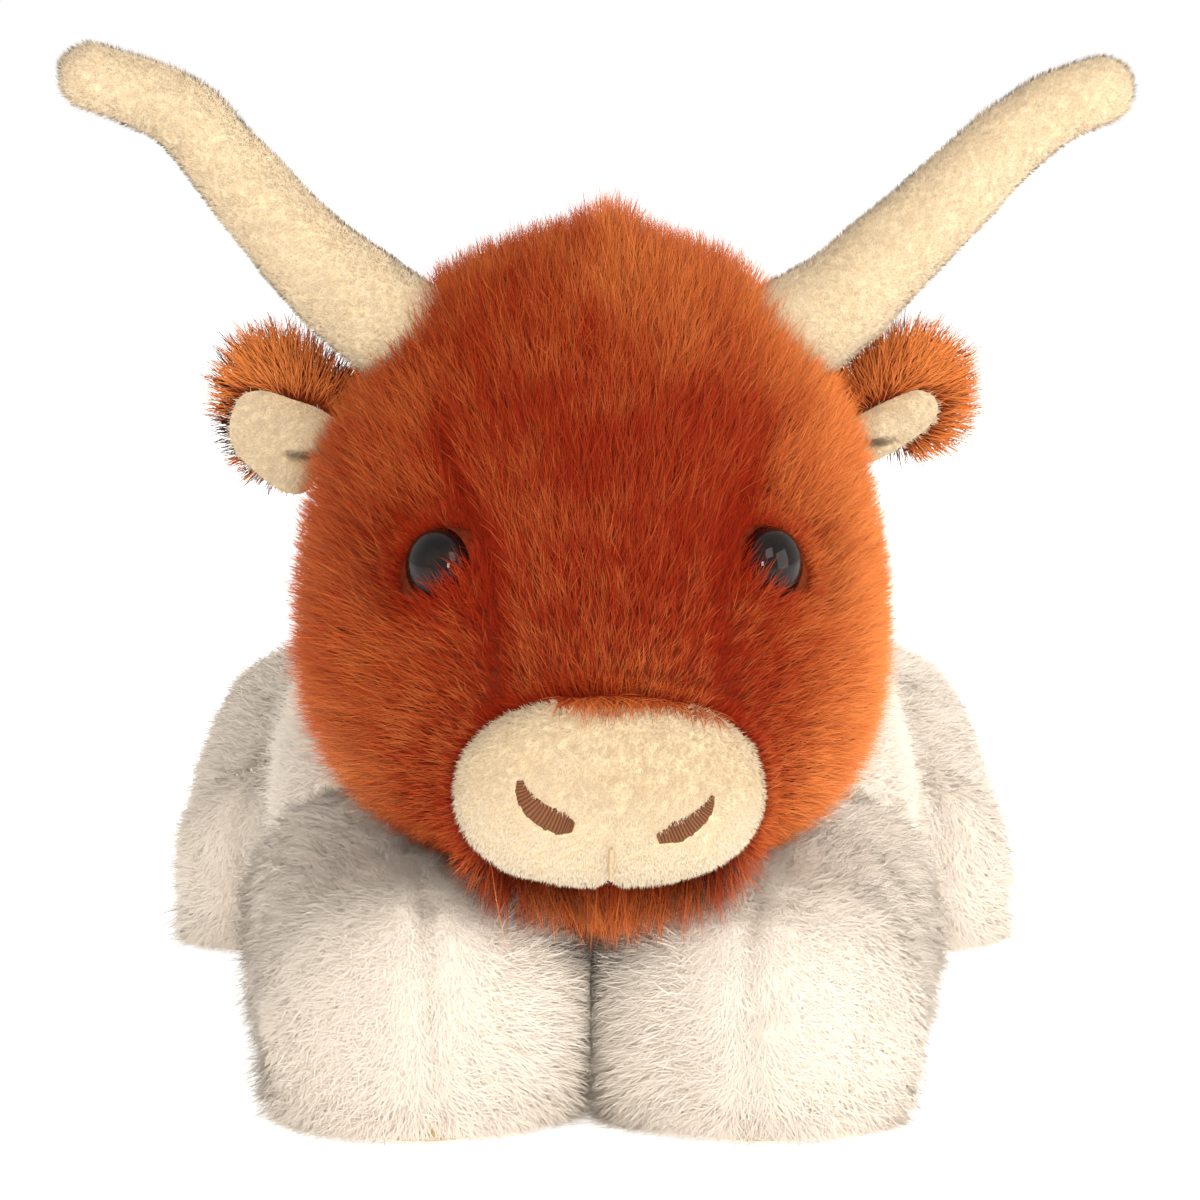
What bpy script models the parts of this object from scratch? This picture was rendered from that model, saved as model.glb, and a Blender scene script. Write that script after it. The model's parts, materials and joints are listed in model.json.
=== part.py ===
"""A plush longhorn cow that lies on its belly with its chin on its forelegs.

Metres, +Z up. The face looks along -Y and the toy's own left side is +X.
The origin is on the floor, under the middle of the toy.
"""

import math
from collections import namedtuple

import bmesh
import bpy
from mathutils import Matrix, Vector
from mathutils.bvhtree import BVHTree

SIDES = (("left", 1), ("right", -1))
UP = Vector((0, 0, 1))
BACK = Vector((0, 1, 0))
ACROSS = Vector((1, 0, 0))

# Cloth, clearances and cuts
PLUSH_WALL = 0.005
MINKY_WALL = 0.0022
SEAT_GAP = 0.0004
JOINT_GAP = 0.0007
CUT_OVERRUN = 0.004
FLOOR_CUT = 0.0005
HEAD_TURN_DEG = 2.0
SMOOTH_ANGLE_DEG = 40.0

# Neck: a stuffed ball that sits half in the torso and half in the head
NECK_Y = -0.040
NECK_Z = 0.067
NECK_RADIUS = 0.026
NECK_MOUTH_RADIUS = 0.010

# Torso: a loft along Y. Each row holds its place along the torso, its width,
# and its lowest and highest point, as shares of the length, half width and height.
# The section shares are the widest level, and the fullness above and below it.
TORSO_AHEAD_OF_NECK = 0.012
TORSO_LENGTH = 0.188
TORSO_HALF_WIDTH = 0.0705
TORSO_HEIGHT = 0.0925
TORSO_SECTION_SHARES = (0.42, 2.1, 3.0)
TORSO_STATION_SHARES = (
    (0.0, 0.0, 0.33, 0.33),
    (0.025, 0.48, 0.10, 0.54),
    (0.07, 0.74, 0.03, 0.675),
    (0.14, 0.91, 0.0, 0.835),
    (0.235, 0.98, 0.0, 0.945),
    (0.37, 0.995, 0.0, 0.985),
    (0.53, 1.0, 0.0, 1.0),
    (0.69, 0.98, 0.0, 0.98),
    (0.83, 0.865, 0.0, 0.89),
    (0.925, 0.65, 0.01, 0.74),
    (0.98, 0.40, 0.07, 0.57),
    (1.0, 0.0, 0.33, 0.33),
)

# Head: the same kind of loft, from the snout to the nape. The chin lies over the forelegs.
NAPE_BEHIND_NECK = 0.016
HEAD_LENGTH = 0.122
HEAD_HALF_WIDTH = 0.0555
HEAD_HEIGHT = 0.117
CHIN_GAP = 0.0013
HEAD_SECTION_SHARES = (0.40, 2.0, 2.8)
HEAD_STATION_SHARES = (
    (0.0, 0.0, 0.165, 0.165),
    (0.033, 0.47, 0.03, 0.30),
    (0.098, 0.65, 0.004, 0.40),
    (0.197, 0.80, 0.0, 0.585),
    (0.328, 0.93, 0.0, 0.79),
    (0.475, 1.0, 0.002, 0.935),
    (0.639, 0.99, 0.02, 1.0),
    (0.787, 0.885, 0.10, 0.97),
    (0.902, 0.70, 0.215, 0.85),
    (0.975, 0.43, 0.34, 0.68),
    (1.0, 0.0, 0.51, 0.51),
)

# Muzzle panel, with its stuffing behind it
MUZZLE_PROUD = 0.006
MUZZLE_DEPTH = 0.016
MUZZLE_HALF_WIDTH = 0.0295
MUZZLE_HEIGHT = 0.0365
MUZZLE_SECTION_SHARES = (0.5, 2.4, 2.4)
MUZZLE_STATION_SHARES = (
    (0.0, 0.0, 0.50, 0.50),
    (0.05, 0.46, 0.27, 0.73),
    (0.17, 0.76, 0.12, 0.88),
    (0.40, 0.94, 0.03, 0.97),
    (0.70, 1.0, 0.0, 1.0),
    (1.0, 0.97, 0.015, 0.985),
)
NOSTRIL_SPREAD = 0.0133
NOSTRIL_WIDTH = 0.0088
NOSTRIL_DROP = 0.0084
NOSTRIL_DOWN = 0.0015
NOSTRIL_BOW = 0.0018
NOSTRIL_THREAD_RADIUS = 0.0011
NOSTRIL_RADIUS_SHARES = (0.45, 0.85, 1.0, 0.9, 0.5)
STITCH_LENGTH = 0.006
STITCH_RADIUS = 0.0006
STITCH_RADIUS_SHARES = (0.7, 1.0, 0.7)
STITCH_DOWN = 0.0115
THREAD_LIFT_SHARE = 1.15

# Safety eyes: the dome is proud of the cloth and the washer clips its shank from behind
EYE_RADIUS = 0.0075
EYE_DOME = 0.0052
EYE_RIM = 0.0012
EYE_DOME_STEPS = 4
SHANK_RADIUS = 0.0022
SHANK_LENGTH = 0.013
CLAMPED_CLOTH = 0.0036
WASHER_RADIUS = 0.0065
WASHER_THICKNESS = 0.0018
EYE_PIVOT_BACK = 0.051
EYE_RISE = 0.0582
EYE_AZIMUTH_DEG = 52.0

# Horns: each path runs outward and up from the base, in shares of the reach and rise
HORN_BACK = 0.074
HORN_ANGLE_DEG = 54.0
HORN_BASE_RADIUS = 0.0122
HORN_REACH = 0.066
HORN_RISE = 0.053
HORN_MOUTH_RADIUS = 0.006
HORN_PATH_SHARES = {
    "left": ((0.0, 0.0), (0.20, 0.17), (0.40, 0.40), (0.63, 0.68), (0.81, 0.86), (0.975, 0.95)),
    "right": ((0.0, 0.0), (0.22, 0.22), (0.39, 0.43), (0.56, 0.68), (0.72, 0.89), (0.96, 1.0)),
}
HORN_RADIUS_SHARES = (1.0, 0.91, 0.80, 0.72, 0.66, 0.61)

# Ears: a flat blade on a round root, with the lining let into its front
EAR_BACK = 0.088
EAR_ANGLE_DEG = 36.0
EAR_ROOT_RADIUS = 0.006
EAR_ROOT_PROUD = 0.0032
EAR_LENGTH = 0.031
EAR_HALF_HEIGHT = 0.0165
EAR_HALF_THICKNESS = 0.0055
EAR_STATION_SHARES = (
    (0.18, 0.46, 0.95),
    (0.36, 0.74, 1.0),
    (0.58, 1.0, 0.95),
    (0.78, 0.93, 0.80),
    (0.92, 0.66, 0.58),
)
LINING_START = 0.005
LINING_LENGTH = 0.022
LINING_HALF_HEIGHT = 0.0105
LINING_HALF_THICKNESS = 0.0032
LINING_DOWN = 0.004
LINING_FORWARD = 0.0045
LINING_STATION_SHARES = (
    (0.10, 0.50, 0.55),
    (0.32, 0.88, 0.95),
    (0.58, 1.0, 1.0),
    (0.82, 0.78, 0.80),
    (0.95, 0.45, 0.50),
)

# Legs: outlines stacked upwards, round about the hinge at the back and about the toe in front
HALF_SHOULDER_GAP = 0.013
SHOULDER_BEHIND_NECK = 0.002
SHOULDER_RADIUS = 0.030
SHOULDER_HEIGHT = 0.0475
HALF_CLEFT = 0.003
FOREPAW_AHEAD = 0.001
FOREPAW_RADIUS = 0.0305
FOREPAW_HEIGHT = 0.0475
FORELEG_WAIST = 0.0275
FORELEG_WAIST_HEIGHT = 0.0455
FORELEG_SWING_DEG = 25.0
SWING_SPARE_SHARE = 1.1
HIP_INSET = 0.013
HIP_BACK = 0.140
HIP_RADIUS = 0.035
HIP_HEIGHT = 0.060
HINDPAW_OUTSET = 0.003
HINDLEG_REACH = 0.070
HINDPAW_RADIUS = 0.0205
HINDPAW_HEIGHT = 0.040
HINDLEG_WAIST = 0.028
HINDLEG_WAIST_HEIGHT = 0.052
TOE_FULLNESS_SHARE = 2.3
LEG_LEVEL_SHARES = (
    (0.0, 0.84),
    (0.10, 0.945),
    (0.27, 1.0),
    (0.54, 1.0),
    (0.76, 0.89),
    (0.91, 0.66),
    (1.0, 0.28),
)
SOLE_HALF_WIDTH_SHARE = 0.62
SOLE_LENGTH_SHARE = 0.80
SOLE_TOE_MARGIN_SHARE = 0.13
SOLE_THICKNESS = 0.0045

# Pellet bags lie on the underside's cloth, below the stuffing
BELLY_BAG_BACK = 0.102
BELLY_BAG_HALF_WIDTH = 0.018
BELLY_BAG_HALF_LENGTH = 0.042
BELLY_BAG_HEIGHT = 0.022
PAW_BAG_SHARE = 0.50
PAW_BAG_HEIGHT = 0.014
BAG_LEVEL_SHARES = ((0.0, 0.86), (0.45, 1.0), (0.80, 0.80), (1.0, 0.40))

# Tail: hangs behind the rump from a round root, and ends in a tuft
TAIL_ROOT_Z = 0.052
TAIL_ROOT_RADIUS = 0.0065
TAIL_RADIUS = 0.0042
TAIL_BACK = 0.0125
TAIL_DROP = 0.024
TAIL_PATH_SHARES = ((0.0, 0.0), (0.62, 0.10), (0.92, 0.42), (1.0, 1.0))
TUFT_LENGTH = 0.022
TUFT_RADIUS = 0.0072
TUFT_STATION_SHARES = ((0.0, 0.55), (0.22, 0.90), (0.55, 1.0), (0.82, 0.70), (1.0, 0.25))

# Facets round each form
FORM_SIDES = 18
INNER_SIDES = 14
BALL_SIDES = 22
BALL_STEPS = 12
LEG_ARC_STEPS = 5
INNER_ARC_STEPS = 3
HORN_SIDES = 12
HORN_SOCKET_SIDES = 16
HORN_SOCKET_STEPS = 8
ROUND_SIDES = 12
ROUND_STEPS = 6
DOME_STEPS = 3
EYE_SIDES = 18
SMALL_SIDES = 10
THREAD_SIDES = 6

# Places that follow from the sizes above
TORSO_FRONT_Y = NECK_Y - TORSO_AHEAD_OF_NECK
HEAD_FRONT_Y = NECK_Y + NAPE_BEHIND_NECK - HEAD_LENGTH
CHIN_Z = max(SHOULDER_HEIGHT, FOREPAW_HEIGHT) + CHIN_GAP
MUZZLE_FRONT_Y = HEAD_FRONT_Y - MUZZLE_PROUD
EYE_PIVOT_Y = HEAD_FRONT_Y + EYE_PIVOT_BACK
EYE_Z = CHIN_Z + EYE_RISE
HORN_Y = HEAD_FRONT_Y + HORN_BACK
EAR_Y = HEAD_FRONT_Y + EAR_BACK
SHOULDER_X = SHOULDER_RADIUS + HALF_SHOULDER_GAP
SHOULDER_Y = NECK_Y + SHOULDER_BEHIND_NECK
FOREPAW_X = FOREPAW_RADIUS + HALF_CLEFT
FOREPAW_TOE_Y = HEAD_FRONT_Y - FOREPAW_AHEAD
HIP_X = TORSO_HALF_WIDTH - HIP_INSET
HIP_Y = TORSO_FRONT_Y + HIP_BACK
HINDPAW_X = TORSO_HALF_WIDTH + HINDPAW_OUTSET
HINDPAW_TOE_Y = HIP_Y - HINDLEG_REACH
BELLY_BAG_Y = TORSO_FRONT_Y + BELLY_BAG_BACK

FINISHES = {
    "brown_plush": ((0.42, 0.13, 0.035), 0.95),
    "cream_plush": ((0.90, 0.86, 0.80), 0.95),
    "cream_minky": ((0.90, 0.77, 0.50), 0.85),
    "sole_tan": ((0.70, 0.52, 0.30), 0.85),
    "eye_black": ((0.01, 0.008, 0.008), 0.08),
    "washer": ((0.85, 0.85, 0.83), 0.45),
    "stuffing": ((0.93, 0.93, 0.91), 1.0),
    "pellet_bag": ((0.80, 0.80, 0.78), 0.8),
    "brown_thread": ((0.25, 0.12, 0.05), 0.6),
}

Form = namedtuple("Form", "start length half_width base height stations middle upper lower")
Leg = namedtuple("Leg", "hinge toe hinge_radius toe_radius waist base hinge_height toe_height waist_height")

TORSO = Form(
    TORSO_FRONT_Y,
    TORSO_LENGTH,
    TORSO_HALF_WIDTH,
    -FLOOR_CUT,
    TORSO_HEIGHT,
    TORSO_STATION_SHARES,
    *TORSO_SECTION_SHARES,
)
HEAD = Form(
    HEAD_FRONT_Y,
    HEAD_LENGTH,
    HEAD_HALF_WIDTH,
    CHIN_Z,
    HEAD_HEIGHT,
    HEAD_STATION_SHARES,
    *HEAD_SECTION_SHARES,
)
MUZZLE = Form(
    MUZZLE_FRONT_Y,
    MUZZLE_DEPTH,
    MUZZLE_HALF_WIDTH,
    CHIN_Z + SEAT_GAP,
    MUZZLE_HEIGHT,
    MUZZLE_STATION_SHARES,
    *MUZZLE_SECTION_SHARES,
)


def clear_scene():
    for obj in list(bpy.data.objects):
        bpy.data.objects.remove(obj)


# Points and rings


def bent(value, power):
    """The coordinate of a superellipse where a circle has this sine or cosine."""
    return math.copysign(abs(value) ** (2 / power), value)


def circle(centre, across, up, radius, sides):
    angles = (2 * math.pi * k / sides for k in range(sides))
    return [centre + radius * (math.cos(a) * across + math.sin(a) * up) for a in angles]


def ellipse(centre, across, up, half_width, half_height, sides):
    angles = (2 * math.pi * k / sides for k in range(sides))
    return [centre + half_width * math.cos(a) * across + half_height * math.sin(a) * up for a in angles]


def form_ring(form, along, width, low, high, sides):
    """One upright cross-section of a torso-like form: fuller below its widest level than above it."""
    lowest = form.base + low * form.height
    highest = form.base + high * form.height
    middle = lowest + form.middle * (highest - lowest)
    y = form.start + along * form.length
    if not width:
        return [Vector((0, y, middle))]
    ring = []
    for k in range(sides):
        angle = 2 * math.pi * k / sides
        above = math.sin(angle) > 0
        power = form.upper if above else form.lower
        reach = highest - middle if above else middle - lowest
        x = width * form.half_width * bent(math.cos(angle), power)
        ring.append(Vector((x, y, middle + reach * bent(math.sin(angle), power))))
    return ring


def form_rings(form, sides):
    return [form_ring(form, *station, sides) for station in form.stations]


def grown(form, amount):
    """The form with its whole surface moved out, or in where the amount is negative."""
    return form._replace(
        start=form.start - amount,
        length=form.length + 2 * amount,
        half_width=form.half_width + amount,
        base=form.base - amount,
        height=form.height + 2 * amount,
    )


def turned_rings(profile, place, axis, sides):
    """Rings about an axis, one for each (radius, height) of the profile."""
    across = axis.orthogonal().normalized()
    up = axis.cross(across)
    rings = []
    for radius, height in profile:
        centre = place + height * axis
        rings.append(circle(centre, across, up, radius, sides) if radius else [centre])
    return rings


def ball_profile(radius, steps):
    angles = (math.pi * k / steps for k in range(1, steps))
    inner = [(radius * math.sin(a), -radius * math.cos(a)) for a in angles]
    return [(0, -radius), *inner, (0, radius)]


def ball_rings(place, radius, sides=BALL_SIDES, steps=BALL_STEPS):
    return turned_rings(ball_profile(radius, steps), place, UP, sides)


def smooth_path(points, steps):
    """Points along a smooth curve that goes through the given ones, with the curve's direction at each."""
    ends = [2 * points[0] - points[1], *points, 2 * points[-1] - points[-2]]
    path = []
    for k in range(len(points) - 1):
        a, b, c, d = ends[k : k + 4]
        for step in range(steps):
            t = step / steps
            square = 2 * a - 5 * b + 4 * c - d
            cube = 3 * b - a - 3 * c + d
            place = 0.5 * (2 * b + (c - a) * t + square * t**2 + cube * t**3)
            way = 0.5 * (c - a + 2 * square * t + 3 * cube * t**2)
            path.append((place, way.normalized()))
    path.append((points[-1], (ends[-1] - ends[-2]).normalized()))
    return path


def read_shares(shares, place):
    """A share table read at a place from 0 to 1, straight between its evenly spaced values."""
    spot = place * (len(shares) - 1)
    first = min(int(spot), len(shares) - 2)
    return shares[first] + (spot - first) * (shares[first + 1] - shares[first])


def tube_rings(path, radii, normal, sides):
    """Round rings along a path that lies in the plane square to the normal."""
    return [
        circle(place, normal, way.cross(normal), radius, sides) if radius else [place]
        for (place, way), radius in zip(path, radii)
    ]


def dome_path(place, way, radius, steps, outward):
    """Places and radii of a half ball on a tube's end, from the tube outwards or from its pole inwards."""
    angles = [0.5 * math.pi * k / steps for k in range(1, steps + 1)]
    sign = 1 if outward else -1
    found = [((place + sign * radius * math.sin(a) * way, way), radius * math.cos(a)) for a in angles]
    found[-1] = (found[-1][0], 0)
    return found if outward else found[::-1]


def outline_half(leg, level, radius_share, arc_steps):
    """Half of a leg's outline at one level, from behind the hinge round the inner side to the toe."""
    way = (leg.toe - leg.hinge).normalized()
    aside = way.cross(UP)
    half = []
    for k in range(arc_steps + 1):
        angle = 0.5 * math.pi * k / arc_steps
        reach = leg.hinge_radius * radius_share
        spot = leg.hinge + reach * (math.sin(angle) * aside - math.cos(angle) * way)
        half.append((spot, leg.hinge_height))
    half.append((0.5 * (leg.hinge + leg.toe) + leg.waist * radius_share * aside, leg.waist_height))
    for k in range(arc_steps + 1):
        angle = 0.5 * math.pi * k / arc_steps
        reach = leg.toe_radius * radius_share
        out = bent(math.cos(angle), TOE_FULLNESS_SHARE)
        ahead = bent(math.sin(angle), TOE_FULLNESS_SHARE)
        half.append((leg.toe + reach * (out * aside + ahead * way), leg.toe_height))
    return [spot + (leg.base + level * (height - leg.base)) * UP for spot, height in half]


def mirrored(point, leg):
    """The point on the other side of the upright plane through the leg's hinge and toe."""
    aside = (leg.toe - leg.hinge).normalized().cross(UP)
    return point - 2 * (point - leg.hinge).dot(aside) * aside


def leg_rings(leg, arc_steps):
    rings = []
    for level, radius_share in LEG_LEVEL_SHARES:
        half = outline_half(leg, level, radius_share, arc_steps)
        other = [mirrored(point, leg) for point in half[-2:0:-1]]
        rings.append(half + other)
    return rings


def root_rings(leg):
    """The whole round root that turns on the hinge, for the room it needs."""
    rise = leg.hinge_height - leg.base
    profile = [(leg.hinge_radius * share, leg.base + level * rise) for level, share in LEG_LEVEL_SHARES]
    return turned_rings(profile, leg.hinge, UP, 4 * LEG_ARC_STEPS)


def grown_leg(leg, amount):
    return leg._replace(
        hinge_radius=leg.hinge_radius + amount,
        toe_radius=leg.toe_radius + amount,
        waist=leg.waist + amount,
        base=leg.base - amount,
        hinge_height=leg.hinge_height + amount,
        toe_height=leg.toe_height + amount,
        waist_height=leg.waist_height + amount,
    )


# Solids


def strip_cap(start, count):
    """Faces that close a ring, each between two points and the two across from them."""
    faces = []
    for k in range(count // 2):
        corners = (k, k + 1, (count - k - 1) % count, (count - k) % count)
        faces.append(tuple(dict.fromkeys(start + corner for corner in corners)))
    return faces if count > 1 else []


def join_rings(first, count, second, other):
    """Faces between two rings that start at these points. A ring of one point is a pole."""
    most = max(count, other)
    faces = []
    for k in range(most):
        after = (k + 1) % most
        corners = (first + k % count, first + after % count, second + after % other, second + k % other)
        faces.append(tuple(dict.fromkeys(corners)))
    return faces


def surface_of(rings, looped=False):
    """Points and faces of the closed surface through the rings."""
    points = []
    starts = []
    for ring in rings:
        starts.append(len(points))
        points.extend(ring)
    faces = []
    for k in range(len(rings) if looped else len(rings) - 1):
        after = (k + 1) % len(rings)
        faces.extend(join_rings(starts[k], len(rings[k]), starts[after], len(rings[after])))
    if not looped:
        faces.extend(strip_cap(starts[0], len(rings[0])))
        faces.extend(strip_cap(starts[-1], len(rings[-1])))
    return points, faces


def surface_point(rings, inside, direction):
    """Where a straight line from inside the form leaves its surface."""
    return BVHTree.FromPolygons(*surface_of(rings)).ray_cast(inside, direction)[0]


def cut_flat(mesh_edit):
    """Cuts away what lies under the floor and closes the cut."""
    everything = mesh_edit.verts[:] + mesh_edit.edges[:] + mesh_edit.faces[:]
    floor = {"plane_co": Vector(), "plane_no": -UP}
    found = bmesh.ops.bisect_plane(mesh_edit, geom=everything, clear_outer=True, **floor)
    rim = [item for item in found["geom_cut"] if isinstance(item, bmesh.types.BMEdge)]
    bmesh.ops.holes_fill(mesh_edit, edges=rim)


def finish_of(name, slot):
    colour, roughness = FINISHES[slot]
    material = bpy.data.materials.new(name + "_finish")
    material.use_nodes = True
    shader = material.node_tree.nodes["Principled BSDF"]
    shader.inputs["Base Color"].default_value = (*colour, 1.0)
    shader.inputs["Roughness"].default_value = roughness
    shader.inputs["Metallic"].default_value = 0.0
    material.diffuse_color = (*colour, 1.0)
    return material


class Joint:
    """An empty on a joint's axis, which carries the pieces that move with it."""

    def __init__(self, name, place, parent=None, turn_deg=0.0):
        self.place = place.copy()
        self.empty = bpy.data.objects.new(name, None)
        bpy.context.scene.collection.objects.link(self.empty)
        self.empty.location = self.place
        if parent:
            self.empty.parent = parent.empty
            self.empty.location = self.place - parent.place
        self.empty.rotation_euler.z = math.radians(turn_deg)

    def add(self, name, rings, slot=None, on_floor=False, looped=False):
        """A solid through the rings. Without a finish it is a cutter."""
        points, faces = surface_of(rings, looped)
        mesh_edit = bmesh.new()
        corners = [mesh_edit.verts.new(point) for point in points]
        for face in faces:
            mesh_edit.faces.new([corners[k] for k in face])
        # Alike diagonals keep the gap between a cover's inside and its stuffing even.
        bmesh.ops.triangulate(mesh_edit, faces=mesh_edit.faces[:], quad_method="FIXED")
        bmesh.ops.recalc_face_normals(mesh_edit, faces=mesh_edit.faces)
        if on_floor:
            cut_flat(mesh_edit)
        bmesh.ops.translate(mesh_edit, verts=mesh_edit.verts, vec=-self.place)
        mesh = bpy.data.meshes.new(name)
        mesh_edit.to_mesh(mesh)
        mesh_edit.free()
        mesh.shade_smooth()
        mesh.set_sharp_from_angle(angle=math.radians(SMOOTH_ANGLE_DEG))
        obj = bpy.data.objects.new(name, mesh)
        bpy.context.scene.collection.objects.link(obj)
        obj.parent = self.empty
        if slot:
            mesh.materials.append(finish_of(name, slot))
        else:
            obj.hide_render = True
            obj.display_type = "WIRE"
        return obj


def cut(obj, *cutters):
    for cutter in cutters:
        modifier = obj.modifiers.new(cutter.name, "BOOLEAN")
        modifier.operation = "DIFFERENCE"
        modifier.solver = "EXACT"
        modifier.object = cutter


# Torso


def leg_of(side, front):
    if front:
        return Leg(
            Vector((side * SHOULDER_X, SHOULDER_Y, 0)),
            Vector((side * FOREPAW_X, FOREPAW_TOE_Y + FOREPAW_RADIUS, 0)),
            SHOULDER_RADIUS,
            FOREPAW_RADIUS,
            FORELEG_WAIST,
            0.0,
            SHOULDER_HEIGHT,
            FOREPAW_HEIGHT,
            FORELEG_WAIST_HEIGHT,
        )
    return Leg(
        Vector((side * HIP_X, HIP_Y, 0)),
        Vector((side * HINDPAW_X, HINDPAW_TOE_Y + HINDPAW_RADIUS, 0)),
        HIP_RADIUS,
        HINDPAW_RADIUS,
        HINDLEG_WAIST,
        0.0,
        HIP_HEIGHT,
        HINDPAW_HEIGHT,
        HINDLEG_WAIST_HEIGHT,
    )


def swing_room(side):
    """The room in front of the shoulder that a foreleg sweeps as it swings outwards."""
    leg = grown_leg(leg_of(side, True), JOINT_GAP)
    way = (leg.toe - leg.hinge).normalized()
    aside = side * Vector((-way.y, way.x, 0))
    angle = side * math.radians(FORELEG_SWING_DEG) * SWING_SPARE_SHARE
    far_way = Matrix.Rotation(angle, 3, UP) @ way
    far_aside = side * Vector((-far_way.y, far_way.x, 0))
    width = max(leg.hinge_radius, leg.toe_radius)
    reach = SHOULDER_RADIUS + FOREPAW_RADIUS
    corners = [
        leg.hinge - width * aside,
        leg.hinge - width * aside + reach * way,
        leg.hinge + width * far_aside + reach * far_way + reach * way,
        leg.hinge + width * far_aside + reach * far_way,
        leg.hinge + width * far_aside,
    ]
    floor = [corner - CUT_OVERRUN * UP for corner in corners]
    roof = [corner + (SHOULDER_HEIGHT + 2 * JOINT_GAP) * UP for corner in corners]
    return [floor, roof]


def bag_rings(place, half_width, half_length, height, margin=0.0):
    """A flat-bottomed pellet bag; with a margin, the room for one that is open below."""
    rings = []
    for level, share in BAG_LEVEL_SHARES:
        centre = place + (level * height + margin) * UP
        size = (half_width * share + margin, half_length * share + margin)
        rings.append(ellipse(centre, ACROSS, BACK, *size, ROUND_SIDES))
    if margin:
        rings[0] = [point - CUT_OVERRUN * UP for point in rings[0]]
    return rings


def add_torso(body, tail_root):
    cutters = [body.add("neck_socket_cutter", ball_rings(NECK_PLACE, NECK_RADIUS + JOINT_GAP))]
    socket = ball_rings(tail_root, TAIL_ROOT_RADIUS + JOINT_GAP, ROUND_SIDES, ROUND_STEPS)
    cutters.append(body.add("tail_socket_cutter", socket))
    for name, side in SIDES:
        cutters.append(body.add(f"swing_room_cutter_{name}", swing_room(side)))
        for part, front in (("foreleg", True), ("hindleg", False)):
            leg = grown_leg(leg_of(side, front), JOINT_GAP)
            cutters.append(body.add(f"{part}_socket_cutter_{name}", leg_rings(leg, LEG_ARC_STEPS)))
        hip_room = root_rings(grown_leg(leg_of(side, False), JOINT_GAP))
        cutters.append(body.add(f"hip_room_cutter_{name}", hip_room))
    cavity = body.add("torso_cavity_cutter", form_rings(grown(TORSO, -PLUSH_WALL), INNER_SIDES))
    cut(body.add("torso_skin", form_rings(TORSO, FORM_SIDES), "cream_plush", on_floor=True), cavity, *cutters)
    bag_place = Vector((0, BELLY_BAG_Y, PLUSH_WALL + FLOOR_CUT))
    bag_size = (BELLY_BAG_HALF_WIDTH, BELLY_BAG_HALF_LENGTH, BELLY_BAG_HEIGHT)
    body.add("belly_pellet_bag", bag_rings(bag_place, *bag_size), "pellet_bag")
    bag_room = body.add("belly_bag_room_cutter", bag_rings(bag_place, *bag_size, margin=SEAT_GAP))
    filling = form_rings(grown(TORSO, -PLUSH_WALL - SEAT_GAP), INNER_SIDES)
    cut(body.add("torso_stuffing", filling, "stuffing"), bag_room, *cutters)


# Neck


def add_neck(neck):
    inside = ball_rings(NECK_PLACE, NECK_RADIUS - PLUSH_WALL, ROUND_SIDES, ROUND_STEPS)
    hollow = neck.add("neck_hollow_cutter", inside)
    ends = ((NECK_MOUTH_RADIUS, -NECK_RADIUS - CUT_OVERRUN), (NECK_MOUTH_RADIUS, NECK_RADIUS + CUT_OVERRUN))
    mouths = neck.add("neck_mouth_cutter", turned_rings(ends, NECK_PLACE, UP, ROUND_SIDES))
    cut(neck.add("neck_skin", ball_rings(NECK_PLACE, NECK_RADIUS), "brown_plush"), hollow, mouths)
    filling = ball_rings(NECK_PLACE, NECK_RADIUS - PLUSH_WALL - SEAT_GAP, ROUND_SIDES, ROUND_STEPS)
    neck.add("neck_stuffing", filling, "stuffing")


# Head


def add_eye(head, name, side):
    """The eye, its washer, and the cutters for its seat in the cloth and its pocket in the stuffing."""
    azimuth = math.radians(EYE_AZIMUTH_DEG)
    way = Vector((side * math.sin(azimuth), -math.cos(azimuth), 0))
    place = surface_point(form_rings(HEAD, FORM_SIDES), Vector((0, EYE_PIVOT_Y, EYE_Z)), way)
    angles = (0.5 * math.pi * k / EYE_DOME_STEPS for k in range(1, EYE_DOME_STEPS + 1))
    dome = [(EYE_RADIUS * math.sin(a), EYE_DOME * math.cos(a)) for a in angles]
    below = [(EYE_RADIUS, -EYE_RIM), (SHANK_RADIUS, -EYE_RIM), (SHANK_RADIUS, -SHANK_LENGTH)]
    head.add(f"eye_{name}", turned_rings([(0, EYE_DOME), *dome, *below], place, way, EYE_SIDES), "eye_black")
    clip_top = -EYE_RIM - 2 * SEAT_GAP - CLAMPED_CLOTH
    clip = (
        (WASHER_RADIUS, clip_top),
        (WASHER_RADIUS, clip_top - WASHER_THICKNESS),
        (SHANK_RADIUS + SEAT_GAP, clip_top - WASHER_THICKNESS),
        (SHANK_RADIUS + SEAT_GAP, clip_top),
    )
    head.add(f"eye_washer_{name}", turned_rings(clip, place, way, ROUND_SIDES), "washer", looped=True)
    seat = (
        (EYE_RADIUS + SEAT_GAP, 2 * EYE_RADIUS),
        (EYE_RADIUS + SEAT_GAP, -EYE_RIM - SEAT_GAP),
        (SHANK_RADIUS + 2 * SEAT_GAP, -EYE_RIM - SEAT_GAP),
        (SHANK_RADIUS + 2 * SEAT_GAP, clip_top + SEAT_GAP),
        (WASHER_RADIUS + SEAT_GAP, clip_top + SEAT_GAP),
        (WASHER_RADIUS + SEAT_GAP, -2 * SHANK_LENGTH),
    )
    pocket = ((EYE_RADIUS + SEAT_GAP, 2 * EYE_RADIUS), (EYE_RADIUS + SEAT_GAP, -SHANK_LENGTH - SEAT_GAP))
    return (
        head.add(f"eye_seat_cutter_{name}", turned_rings(seat, place, way, EYE_SIDES)),
        head.add(f"eye_pocket_cutter_{name}", turned_rings(pocket, place, way, ROUND_SIDES)),
    )


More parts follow.
